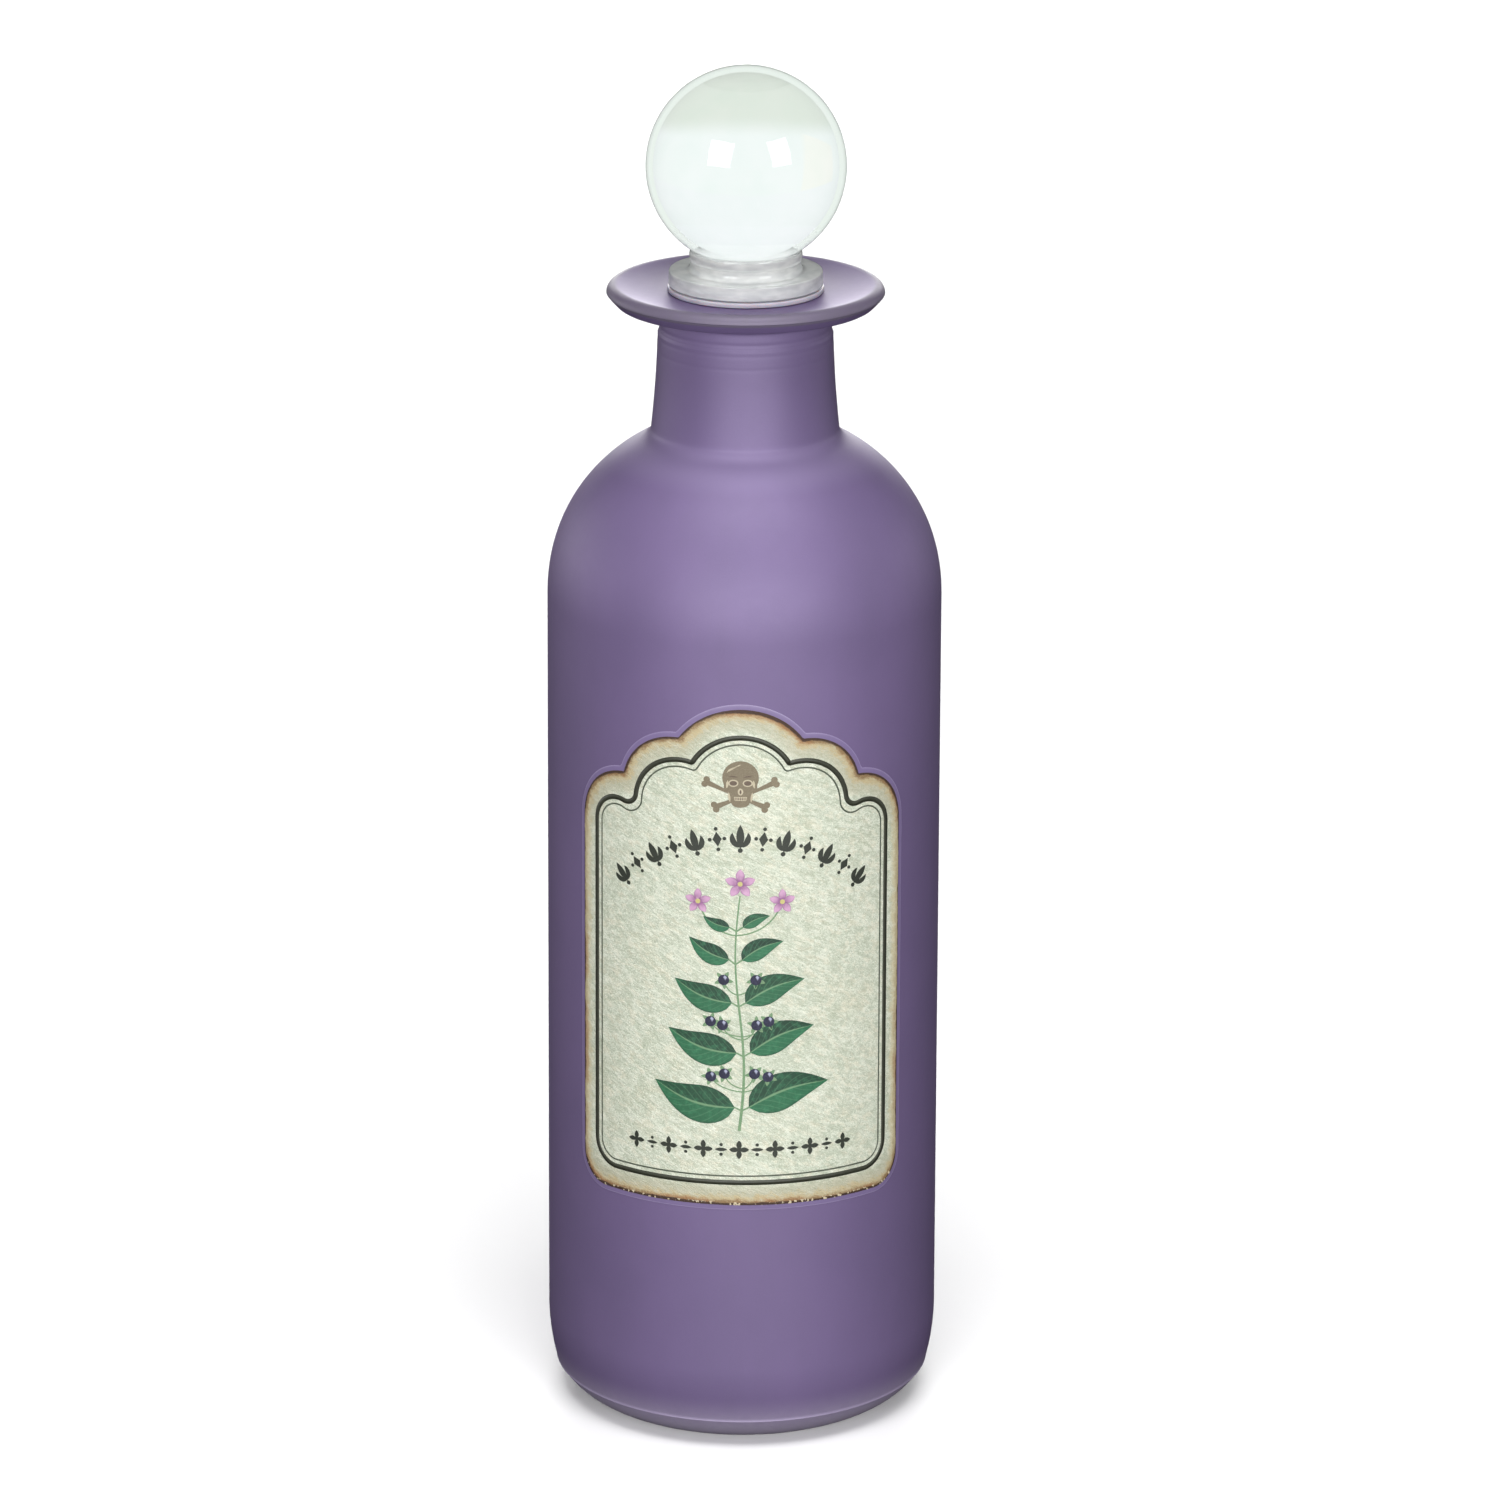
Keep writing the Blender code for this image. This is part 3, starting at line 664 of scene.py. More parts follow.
def agedPaper():
    net = Finish("agedPaper")
    depth, height = net.attribute("edgeDepth"), net.split(net.place).out("Z")
    blotch, mottle = net.noise(0.055, 4.0, 0.6), net.noise(0.28, 4.0, 0.65)
    fibre = net.noise(1.0, 5.0, 0.72, 0.4, stretch=(0.42, 1, 2.3), turn=0.5)
    tooth = net.noise(3.2, 3.0, 0.7, stretch=(0.6, 1, 1.8), turn=0.5)
    warm = net.noise(0.55, 4.0, 0.7, 0.3, stretch=(0.7, 1, 1.5), turn=0.5)
    creaseReliefAndShading = net.noise(0.8, 3.0, 0.6, 0.8, stretch=(0.35, 1, 1.3), turn=0.45)
    stain, grit = net.noise(0.1, 3.0, 0.55), net.noise(5.5, 2.0, 0.7)
    wobble, patch = net.noise(0.45, 5.0, 0.7), net.noise(0.09, 3.0, 0.55)
    ends = height.rise(128, 137) + height.rise(63, 57.5)  # the head and the foot are browner
    streaks = (warm - 0.5) * 2.2 + (tooth - 0.5) * 1.6
    tan = depth.rise(4.2, 0.2) - (wobble - 0.5) * 0.8 - streaks * 0.7
    brown = depth.rise(2.2, 0.1) - (wobble - 0.5) * 1.2 - streaks * 0.5
    scorch = (depth.rise(2.4, 0.2) - streaks * 0.5).rise(0.2, 0.8) * patch.rise(0.48, 0.62)
    burnt = (depth - ends * 0.2 - (wobble - 0.5) * 0.8 - (patch - 0.5) * 1.1).rise(0.46, 0.14)
    chips = net.noise(1.3, 2.0, 0.5).rise(0.58, 0.63) * height.rise(58.5, 56.5) * depth.rise(0.8, 0.5)
    base = net.coats(
        net.mix(blotch.rise(0.32, 0.7), hue(177, 186, 166), hue(196, 201, 183)),
        (mottle.rise(0.45, 0.8) * 0.45, hue(160, 172, 151)),
        (stain.rise(0.5, 0.75) * 0.3, hue(196, 186, 152)),
        (fibre.rise(0.5, 0.7) * 0.6, hue(216, 218, 204)), (fibre.rise(0.47, 0.3) * 0.5, hue(152, 158, 134)),
        (tooth.rise(0.5, 0.6) * 0.55, hue(150, 156, 136)),
        (tooth.rise(0.49, 0.39) * 0.6, hue(222, 226, 212)),
        (warm.rise(0.5, 0.6) * 0.45, hue(210, 203, 180)),
        (warm.rise(0.49, 0.39) * 0.35, hue(168, 178, 156)),
        (grit.rise(0.5, 0.6) * 0.35, hue(146, 152, 134)), (grit.rise(0.49, 0.39) * 0.4, hue(232, 235, 224)),
        # painted light and shade: paler and darker patches that paint the shading of the paper's crumples
        (creaseReliefAndShading.rise(0.51, 0.62) * 0.32, hue(224, 226, 212)),
        (creaseReliefAndShading.rise(0.48, 0.38) * 0.34, hue(156, 162, 140)),
        (ends * depth.rise(5.5, 3.0) * 0.6, hue(162, 158, 134)),
        (tan.rise(0.25, 0.9) * 0.75, net.mix(ends, hue(194, 181, 142), hue(180, 160, 118))),
        (brown.rise(0.3, 0.95) * (ends * 0.5 + 0.4), hue(122, 95, 62)), (scorch * 0.45, hue(148, 98, 56)),
        (burnt * 0.95, hue(50, 31, 24)), (chips * 0.9, hue(204, 190, 160)))
    heights = fibre * 0.35 + creaseReliefAndShading * 0.3 + tooth * 0.25 + grit * 0.1
    return net.done(Base_Color=base, Roughness=fibre * 0.12 + 0.52, Normal=net.bump(heights, 0.42, 1.0))


def makeLabelSheets():
    size = labelSize
    film = labelSheet("label_backing", size["filmMargin"], size["filmLift"], size["filmGrid"],
                      size["filmRollOff"], clearFilm())
    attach(film, "bottle")
    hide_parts("label_film")
    paper = labelSheet("label_face", 0, size["paperLift"], size["paperGrid"], size["paperRollOff"],
                       agedPaper())
    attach(paper, "bottle")
    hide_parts("label_paper")


makeLabelSheets()
print("label laid")


# Printing: flat drawings wrapped on the wall by node trees

def wallTree(name, *inputs):  # the start of a tree whose flat result is laid on the wall
    return bareTree(name, *inputs, ("Lift", "Float", labelSize["inkLift"]))


def wrapOnWall(net, geometry, source):
    real = net.node("GeometryNodeRealizeInstances", {"Geometry": geometry})
    spot = net.split(net.node("GeometryNodeInputPosition"))
    turn, height = spot / labelSize["unroll"], spot.out("Y")
    radius = bodyRadius(height) + source.out("Lift")
    place = net.point(X=turn.sine() * radius * mm, Y=turn.cosine() * radius * -mm, Z=height * mm)
    return endTree(net, net.node("GeometryNodeSetPosition", {"Geometry": real, "Position": place}), source)


def makeRuleTree():  # a line of a given width along a path
    net, path = wallTree("printedRule", ("Width", "Float", 1.0), ("Step", "Float", 0.4))
    half = path.out("Width") / 2
    ends = {"Start": net.point(X=half), "End": net.point(X=half * -1)}
    line = net.node("GeometryNodeCurvePrimitiveLine", ends)
    curve = net.node("GeometryNodeMeshToCurve", {"Mesh": path})
    even = net.node("GeometryNodeResampleCurve", {"Curve": curve, "Length": path.out("Step")}, mode="LENGTH")
    return wrapOnWall(net, net.node("GeometryNodeCurveToMesh", {"Curve": even, "Profile Curve": line}), path)


ruleTree = makeRuleTree()


def inkDone(net, base, grain, rough, shine):
    return net.done(Base_Color=base, Roughness=grain * rough + shine, Normal=net.bump(grain, 0.01, 0.4))


def printInk(name, dark, pale, fade):  # printed ink: mottled, thinner in places
    net, dark, pale = Finish(name), hue(*dark), hue(*pale)
    dots, thin = net.noise(4.0, 2.0, 0.6), net.noise(0.35, 4.0, 0.65)
    tone = net.mix(dots.rise(0.35, 0.75) * 0.6 + thin.rise(0.5, 0.8) * fade, dark, pale)
    return inkDone(net, tone, dots, 0.15, 0.42)


def asPrint(piece):  # its faces turned away from the axis, with the body of the ink
    shape = bmesh.new()
    shape.from_mesh(piece.data)
    inward = [f for f in shape.faces if f.normal.x * f.calc_center_median().x
              + f.normal.y * f.calc_center_median().y < 0]
    bmesh.ops.reverse_faces(shape, faces=inward)
    shape.to_mesh(piece.data)
    shape.free()
    body = piece.modifiers.new("inkBody", "SOLIDIFY")
    body.thickness, body.offset = labelSize["inkBody"] * mm, 1
    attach(piece, "bottle")


# Border: a thick rule and a thin one inside it

borderSize = {
    "halfWidth": 31.95, "bottom": 59.2, "bottomCorner": 5.4, "crown": (0, 142.25), "crownRadius": 11.15,
    "lobe": (12.3, 138.6), "lobeRadius": 9.6, "corner": (26.45, 132.6), "cornerRadius": 5.5, "valley": 2.2,
    "step": 0.3, "cusp": 0.06, "thickWidth": 1.06, "thinInset": 1.42, "thinWidth": 0.33, "thinCusp": 0.9,
}


def borderPath(inset, cusp):
    size = borderSize
    (crown, crownRadius), (lobe, lobeRadius), (corner, cornerRadius) = [
        (Vector(size[name]), size[name + "Radius"] - inset) for name in ("crown", "lobe", "corner")]
    valley = size["valley"] + inset * 0.5
    notch = meeting(crown, crownRadius + cusp, lobe, lobeRadius + cusp)
    dip = meeting(lobe, lobeRadius + valley, corner, cornerRadius + valley)
    side, bottom, foot = size["halfWidth"] - inset, size["bottom"] + inset, size["bottomCorner"] - inset
    top = last = (0, crown.y + crownRadius)
    half = []
    for centre, radius, end, steps in (
            (crown, crownRadius, onCircle(crown, crownRadius, notch), 24),
            (notch, cusp, onCircle(lobe, lobeRadius, notch), 6),
            (lobe, lobeRadius, onCircle(lobe, lobeRadius, dip), 24),
            (dip, valley, onCircle(corner, cornerRadius, dip), 12),
            (corner, cornerRadius, (side, corner.y), 16)):
        half += arcBetween(centre, radius, last, end, steps)[1:]
        last = end
    half += arc((side - foot, bottom + foot), foot, 0, -quarter, 12)
    return half + [(-x, y) for x, y in reversed(half)] + [top]


def makeBorder():
    size = borderSize
    ink = printInk("ruleInk", (42, 44, 34), (62, 64, 52), 0.3)
    faint = printInk("fineRuleInk", (66, 72, 60), (104, 112, 96), 0.6)
    for name, inset, cusp, width, material in (
            ("border_thick", 0, size["cusp"], size["thickWidth"], ink),
            ("border_thin", size["thinInset"], size["thinCusp"], size["thinWidth"], faint)):
        path = polyline(name, borderPath(inset, cusp), closed=True)
        asPrint(runTree(path, ruleTree, material, Width=width, Step=size["step"]))


makeBorder()
print("border printed")


# Flat drawings: strokes of changing width, in millimetres, as seen from the front

def stroke(line, halves, columns=1):  # the faces between the two sides of a drawn line
    spots, faces = [], []
    for index, (x, y) in enumerate(line):
        before, after = line[max(0, index - 1)], line[min(len(line) - 1, index + 1)]
        way = Vector((after[0] - before[0], after[1] - before[1])).normalized()
        for column in range(columns + 1):
            across = 2 * column / columns - 1  # 1 on the left of the line, -1 on its right
            reach = across * halves[index]
            spots.append(((x - way.y * reach, y + way.x * reach, 0), index / (len(line) - 1), across))
    for row in range(len(line) - 1):
        for corner in range(row * (columns + 1), row * (columns + 1) + columns):
            above = corner + columns + 1
            faces.append((corner, above, above + 1, corner + 1))
    return spots, faces


def petal(base, turn, length, width, curl=0.0, steps=8):  # a lens that may curl, turned in degrees
    line, halves = [base], [0]
    for step in range(steps):
        heading = math.radians(turn + curl * (step + 0.5) / steps)
        x, y = line[-1]
        line.append((x + math.cos(heading) * length / steps, y + math.sin(heading) * length / steps))
        halves.append(width / 2 * math.sin(math.pi * (step + 1) / steps) ** 0.8)
    halves[-1] = 0
    return stroke(line, halves)


def oval(centre, radii, columns=1, steps=10):
    ring = arc((0, centre[1]), radii, -quarter, quarter, steps)
    return stroke([(centre[0], y) for x, y in ring], [abs(x) for x, y in ring], columns)


def drawing(name, strokes):  # one flat mesh with each point's place in its stroke
    shape = bmesh.new()
    layers = [shape.verts.layers.float.new(label) for label in ("along", "across")]
    for spots, faces in strokes:
        corners = []
        for spot, *places in spots:
            corners.append(shape.verts.new(spot))
            for layer, place in zip(layers, places):
                corners[-1][layer] = place
        for face in faces:
            shape.faces.new([corners[index] for index in face])
    bmesh.ops.remove_doubles(shape, verts=shape.verts, dist=0.004)
    mesh = bpy.data.meshes.new(name)
    shape.to_mesh(mesh)
    shape.free()
    return newPiece(name, mesh)


def motifOn(net, label, source, **sockets):  # a drawing from an input, set on points
    motif = net.node("GeometryNodeObjectInfo", {"Object": source.out(label)}, "Geometry",
                     transform_space="RELATIVE")
    return net.node("GeometryNodeInstanceOnPoints", {"Instance": motif, **sockets})


def makeLayTree():  # a drawing laid on the wall as it is
    net, flat = wallTree("printedDrawing")
    return wrapOnWall(net, flat, flat)


def makeRowTree():  # two motifs by turns along a path, smaller at its ends
    net, path = wallTree("ornamentRow", ("First", "Object", None), ("Second", "Object", None),
                         ("Count", "Int", 15), ("Ends", "Float", 0.8))
    curve = net.node("GeometryNodeMeshToCurve", {"Mesh": path})
    even = net.node("GeometryNodeResampleCurve", {"Curve": curve, "Count": path.out("Count")}, mode="COUNT")
    tangent = net.node("GeometryNodeInputTangent")
    turn = net.node("FunctionNodeAlignRotationToVector", {"Vector": tangent}, axis="X")
    place = net.node("GeometryNodeSplineParameter", output="Factor")
    scale = 1 - (place * 2 - 1).size() * (1 - path.out("Ends"))
    odd = net.node("GeometryNodeInputIndex").rest(2)
    rows = net.node("GeometryNodeJoinGeometry")
    for label, wanted in (("First", 1 - odd), ("Second", odd)):
        placed = motifOn(net, label, path, Points=even, Rotation=turn, Scale=scale, Selection=wanted)
        net.tree.links.new(placed.socket, rows.socket.node.inputs[0])
    return wrapOnWall(net, rows, path)


def makeSetTree():  # one motif on each point, with its own turn and size
    net, points = wallTree("motifsOnPoints", ("Motif", "Object", None))
    turn, size = [net.node("GeometryNodeInputNamedAttribute", {"Name": name}, data_type="FLOAT")
                  for name in ("turn", "size")]
    motifs = motifOn(net, "Motif", points, Points=points, Scale=size, Rotation=net.point(Z=turn))
    return wrapOnWall(net, motifs, points)


layTree, rowTree, setTree = makeLayTree(), makeRowTree(), makeSetTree()


def printed(name, strokes, lift, material):
    asPrint(runTree(drawing(name, strokes), layTree, material, Lift=labelSize["inkLift"] + lift))


def printedRow(name, path, motifs, count, ends, material):
    first, second = [drawing(name + "_motif", strokes) for strokes in motifs]
    row = runTree(polyline(name, path), rowTree, material, First=first, Second=second, Count=count, Ends=ends)
    for motif in (first, second):
        bpy.data.objects.remove(motif)
    asPrint(row)


def printedSet(name, places, motifStrokes, lift, material):  # places: x, y, turn in degrees, size, tone, side
    piece = meshPiece(name, [(x, y, 0) for x, y, *rest in places])
    for label, values in zip(("turn", "size", "tone", "side"), list(zip(*places))[2:]):
        if label == "turn":
            values = [math.radians(value) for value in values]
        piece.data.attributes.new(label, "FLOAT", "POINT").data.foreach_set("value", values)
    motif = drawing(name + "_motif", motifStrokes)
    asPrint(runTree(piece, setTree, material, Motif=motif, Lift=labelSize["inkLift"] + lift))
    bpy.data.objects.remove(motif)


# Ornament rows: an arch over the sprig and a straight row under it

ornamentSize = {
    "archCentre": (0, 96.5), "archRadius": 36.0, "archHalfAngle": 44.0, "archCount": 13, "archEnds": 0.88,
    "rowHeight": 66.3, "rowHalfLength": 21.6, "rowCount": 13, "rowEnds": 0.9,
}


def fleuron():  # three leaves on a bead
    leaves = [petal((0, -2.2), 90, 5.0, 1.6), oval((0, -2.55), 0.5)]
    return leaves + [petal((0.1 * side, -1.9), 90 - 66 * side, 3.7, 1.2, curl=82 * side) for side in (-1, 1)]


def lozenge():
    beads = [oval(place, 0.4) for place in ((0, 2.2), (0, -2.2), (1.5, 0), (-1.5, 0))]
    return [stroke([(0, -1.6), (0, 0), (0, 1.6)], [0, 0.95, 0])] + beads


def smallStar():
    return [petal((0, 0), 90 * quarterTurn, 2.0, 1.1) for quarterTurn in range(4)] + [oval((0, 0), 0.55)]


def twig():
    return [petal((-1.3, 0), 0, 2.6, 0.8)] + [oval((0, side * 1.05), 0.36) for side in (-1, 1)]


def makeOrnaments():
    size = ornamentSize
    ink = printInk("ornamentInk", (40, 44, 37), (60, 64, 56), 0.3)
    half, reach = math.radians(size["archHalfAngle"]), size["rowHalfLength"]
    arch = arc(size["archCentre"], size["archRadius"], quarter + half, quarter - half, 60)
    printedRow("ornament_arch", arch, (fleuron(), lozenge()), size["archCount"], size["archEnds"], ink)
    line = [(reach * step / 20, size["rowHeight"]) for step in range(-20, 21)]
    printedRow("ornament_row", line, (smallStar(), twig()), size["rowCount"], size["rowEnds"], ink)


makeOrnaments()
print("ornaments printed")


# Skull over crossed bones, the common warning figure

skullSize = {
    "chin": 138.9, "jaw": (1.95, 140.6), "cheek": (3.05, 142.5), "temple": (3.28, 143.6),
    "crownHeight": 145.1, "crownRadii": (3.6, 3.5), "eye": (1.42, 144.0), "eyeRim": (1.0, 0.74),
    "socket": (0.74, 0.5), "nose": (0, 142.2), "noseRim": (0.55, 0.72), "noseLine": (-0.5, 0.95, 0.4),
    "mouth": 140.75, "mouthHalf": 1.3, "toothHeight": 0.8, "toothStep": 0.45, "toothGap": 0.14,
    "boneEnds": (((-6.9, 144.1), (5.0, 138.9)), ((6.9, 144.1), (-5.0, 138.9))), "boneHalf": (0.62, 0.34),
    "boneSteps": 24, "knob": 0.66, "knobSpread": 0.85, "lifts": (0, 0.025, 0.05, 0.075),
    # on each side: pale or not, x, y, turn, lean, length, width, curl
    "sideLines": ((True, 2.75, 142.9, 90, 12, 1.7, 0.5, -10), (True, 2.35, 142.1, -90, -8, 2.1, 0.42, 0),
                  (False, 0.5, 145.2, 90, -70, 1.9, 0.3, -30)),
    "shine": (-2.7, 146.1, 62), "shineStep": (0.42, 0.28, -5), "shineLine": (1.3, 0.24, -25),
    "shineCount": 5, "mouthTaper": 0.85,
}


def skullOutline(size):
    chin, jaw, cheek, temple = (0, size["chin"]), size["jaw"], size["cheek"], size["temple"]
    crown, radii = size["crownHeight"], size["crownRadii"]
    outline = bends(chin, ((jaw[0], chin[1]), jaw, 7), ((jaw[0] + 0.1, cheek[1] - 0.4), cheek, 6),
                    ((temple[0] + 0.1, cheek[1] + 0.3), temple, 4))
    return outline + arc((0, crown), radii, math.asin((temple[1] - crown) / radii[1]), quarter, 16)[1:]


def crossedBones(size):
    (thick, thin), steps, bones = size["boneHalf"], size["boneSteps"], []
    for start, end in size["boneEnds"]:
        line = [tuple(a + (b - a) * step / steps for a, b in zip(start, end)) for step in range(steps + 1)]
        bones.append(stroke(line, [thin + (thick - thin) * abs(2 * step / steps - 1) ** 2.5
                                   for step in range(steps + 1)]))
        way = (Vector(end) - Vector(start)).normalized() * thick * size["knobSpread"]
        bones += [oval((x - way.y * side, y + way.x * side), size["knob"])
                  for x, y in (start, end) for side in (-1, 1)]
    return bones


def makeSkull():
    size = skullSize
    boneLift, skullLift, paleLift, deepLift = size["lifts"]
    taupe = printInk("taupeInk", (108, 98, 79), (132, 122, 101), 0.5)
    pale = printInk("paleLines", (172, 162, 138), (186, 178, 156), 0.3)
    deep = printInk("deepLines", (88, 74, 62), (112, 98, 84), 0.3)
    printed("crossed_bones", crossedBones(size), boneLift, taupe)
    outline = skullOutline(size)
    printed("skull", [stroke([(0, y) for x, y in outline], [x for x, y in outline], 8)], skullLift, taupe)
    lines, marks = [], []
    for side in (-1, 1):
        eye = (size["eye"][0] * side, size["eye"][1])
        lines.append(oval(eye, size["eyeRim"], 2))
        marks.append(oval(eye, size["socket"], 2))
        for isPale, x, y, turn, lean, length, width, curl in size["sideLines"]:
            group = lines if isPale else marks
            group.append(petal((x * side, y), turn + lean * side, length, width, curl * side))
    nose, (drop, length, width) = size["nose"], size["noseLine"]
    lines.append(oval(nose, size["noseRim"]))
    marks.append(petal((nose[0], nose[1] + drop), 90, length, width))
    mouth, half, tooth, gap = size["mouth"], size["mouthHalf"], size["toothHeight"] / 2, size["toothGap"]
    lines.append(stroke([(0, mouth - tooth), (0, mouth + tooth)], [half * size["mouthTaper"], half], 3))
    marks.append(petal((-half, mouth), 0, 2 * half, gap))
    marks += [petal((place * size["toothStep"], mouth - tooth), 90, 2 * tooth, gap) for place in range(-2, 3)]
    for hatch in range(size["shineCount"]):  # light on the left of the crown
        x, y, turn = [start + hatch * step for start, step in zip(size["shine"], size["shineStep"])]
        lines.append(petal((x, y), turn, *size["shineLine"]))
    printed("skull_light", lines, paleLift, pale)
    printed("skull_dark", marks, deepLift, deep)


makeSkull()
print("skull printed")


# Sprig: paired leaves up one stem, star flowers on top and berries between

sprigSize = {
    "foot": 70.4, "top": 120.4, "sway": 0.9, "stemHalf": (0.3, 0.14), "stemSteps": 60,
    "leaves": ((75.0, 17.2, 16), (86.6, 14.8, 20), (97.2, 12.2, 24), (106.2, 9.2, 28), (113.2, 6.0, 24)),
    "leafSpread": 3.0, "leafGrowth": (0.93, 1.05), "stalk": 1.4, "stalkHalves": (0.18, 0.16, 0.1),
    "flowers": ((0, 122.9, 3.1), (-8.4, 119.0, 2.7), (8.4, 119.0, 2.7)), "petals": 5,
    "flowerFoot": 112.0, "flowerStalk": (0.75, 0.6), "flowerStalkHalf": 0.15,
    "berries": ((3.0, 82.6), (5.7, 81.9), (3.4, 93.0), (5.8, 93.7), (3.2, 102.6)), "berryRadius": 1.12,
    "berryFoot": -3.2, "berryStalk": (0.8, -2.6), "berryStalkHalf": 0.13, "calyx": 2.0, "calyxPoints": 5,
    "stalkDrop": 0.3, "stalkTip": 0.5, "calyxWidth": 0.42, "petalShape": (0.95, 0.58), "petalStart": 0.06,
    "eyeRadius": 0.5, "leafArch": 0.085, "leafHalf": 0.235, "lifts": (0, 0.02, 0.045, 0.07), "seed": 11,
}


def stemPlace(height):  # the stem sways a little
    size = sprigSize
    share = (height - size["foot"]) / (size["top"] - size["foot"])
    return (size["sway"] * math.sin(2 * math.pi * share), height)


def leafShape(rows=14):  # a leaf of length 1 along X
    arch, half = sprigSize["leafArch"], sprigSize["leafHalf"]
    line = [(row / rows, arch * math.sin(math.pi * row / rows)) for row in range(rows + 1)]
    halves = [half * math.sin(math.pi * (row / rows) ** 0.7) ** 0.95 for row in range(rows)] + [0]
    return [stroke(line, halves, 6)]


def leafInk():
    net = Finish("leafInk")
    along, across, side = net.attribute("along"), net.attribute("across"), net.attribute("side")
    wash, grain, out = net.noise(0.9, 4.0, 0.65), net.noise(4.0, 2.0, 0.6), across.size()
    vein = ((along * 8 - out * 2.4).rest(1) - 0.5).size()
    base = net.coats(
        net.mix((across * side).rise(-0.1, 0.1), hue(23, 50, 38), hue(38, 98, 67)),
        (net.attribute("tone") * 0.45, hue(44, 86, 60)), (wash.rise(0.42, 0.75) * 0.45, hue(66, 134, 96)),
        (grain.rise(0.45, 0.75) * 0.35, hue(31, 59, 47)), (vein.rise(0.13, 0.03) * 0.2, hue(100, 146, 112)),
        (out.rise(0.82, 1.0) * 0.5, hue(27, 52, 41)), (out.rise(0.09, 0.02) * 0.6, hue(126, 160, 122)))
    return inkDone(net, base, grain, 0.12, 0.42)


def petalInk():
    net = Finish("petalInk")
    wash = net.noise(1.4, 3.0, 0.6)
    base = net.coats(
        net.mix(net.attribute("along").rise(0.05, 0.75), hue(131, 85, 126), hue(185, 144, 175)),
        (wash.rise(0.4, 0.75) * 0.4, hue(203, 171, 191)),
        (net.attribute("across").size().rise(0.6, 1.0) * 0.5, hue(115, 76, 115)))
    return inkDone(net, base, wash, 0.1, 0.44)


def berryInk():
    net = Finish("berryInk")
    bloom = net.noise(2.2, 2.0, 0.6)
    light = (net.attribute("along") - 0.68).size() + (net.attribute("across") + 0.3).size() * 0.5
    base = net.mix(bloom.rise(0.35, 0.75) * 0.5, hue(31, 31, 50), hue(59, 59, 90))
    return inkDone(net, net.mix(light.rise(0.26, 0.08), base, hue(158, 162, 184)), bloom, 0.1, 0.4)


def makeSprig():
    size = sprigSize
    stemLift, leafLift, starLift, eyeLift = size["lifts"]
    chance = random.Random(size["seed"])
    stemInk = printInk("stemInk", (98, 130, 96), (134, 158, 122), 0.3)
    (low, high), steps = size["stemHalf"], size["stemSteps"]
    shares = [step / steps for step in range(steps + 1)]
    stems = [stroke([stemPlace(size["foot"] + (size["top"] - size["foot"]) * share) for share in shares],
                    [low + (high - low) * share for share in shares])]
    leaves, calyxes, berries = [], [], []
    for height, length, slope in size["leaves"]:
        x, y = stemPlace(height)
        for side in (-1, 1):
            rise = slope + chance.uniform(-1, 1) * size["leafSpread"]
            turn = math.radians(90 - side * (90 - rise))
            grown = length * chance.uniform(*size["leafGrowth"])
            right, up = math.cos(turn), math.sin(turn)
            foot = (x + right * size["stalk"], y + up * size["stalk"])
            tip = (foot[0] + right * size["stalkTip"], foot[1] + up * size["stalkTip"])
            stems.append(stroke([(x, y - size["stalkDrop"]), foot, tip], size["stalkHalves"]))
            leaves.append((*foot, math.degrees(turn), grown, chance.random(), -side))
    across, rise = size["flowerStalk"]
    for x, y, radius in size["flowers"][1:]:
        line = bend(stemPlace(size["flowerFoot"]), (x * across, size["flowerFoot"] + rise), (x, y), 12)
        stems.append(stroke(line, [size["flowerStalkHalf"]] * len(line)))
    across, rise = size["berryStalk"]
    points = size["calyxPoints"]
    for x, y in size["berries"]:
        for side in (-1, 1):
            line = bend(stemPlace(y + size["berryFoot"]), (x * across * side, y + rise), (x * side, y), 8)
            stems.append(stroke(line, [size["berryStalkHalf"]] * len(line)))
            tilt = chance.uniform(0, 360 / points)
            calyxes += [(x * side, y, tilt + 360 / points * point, size["calyx"], 0.5, 1)
                        for point in range(points)]
            berries.append((x * side, y, 0, size["berryRadius"], 0, 1))
    petals = [(x, y, 90 + 360 * number / size["petals"], radius, 0, 1) for x, y, radius in size["flowers"]
              for number in range(size["petals"])]
    centres = [(x, y, 0, size["eyeRadius"], 0, 1) for x, y, radius in size["flowers"]]
    eyeInk = printInk("flowerEyes", (176, 168, 104), (196, 190, 140), 0.3)
    printed("sprig_stems", stems, stemLift, stemInk)
    printedSet("sprig_leaves", leaves, leafShape(), leafLift, leafInk())
    printedSet("sprig_calyxes", calyxes, [petal((0, 0), 0, 1, size["calyxWidth"])], leafLift, stemInk)
    printedSet("sprig_berries", berries, [oval((0, 0), 1, 2)], starLift, berryInk())
    onePetal = petal((size["petalStart"], 0), 0, *size["petalShape"])
    printedSet("sprig_petals", petals, [onePetal], starLift, petalInk())
    printedSet("sprig_eyes", centres, [oval((0, 0), 1)], eyeLift, eyeInk)


makeSprig()
print("sprig printed")


# Floor, light and camera

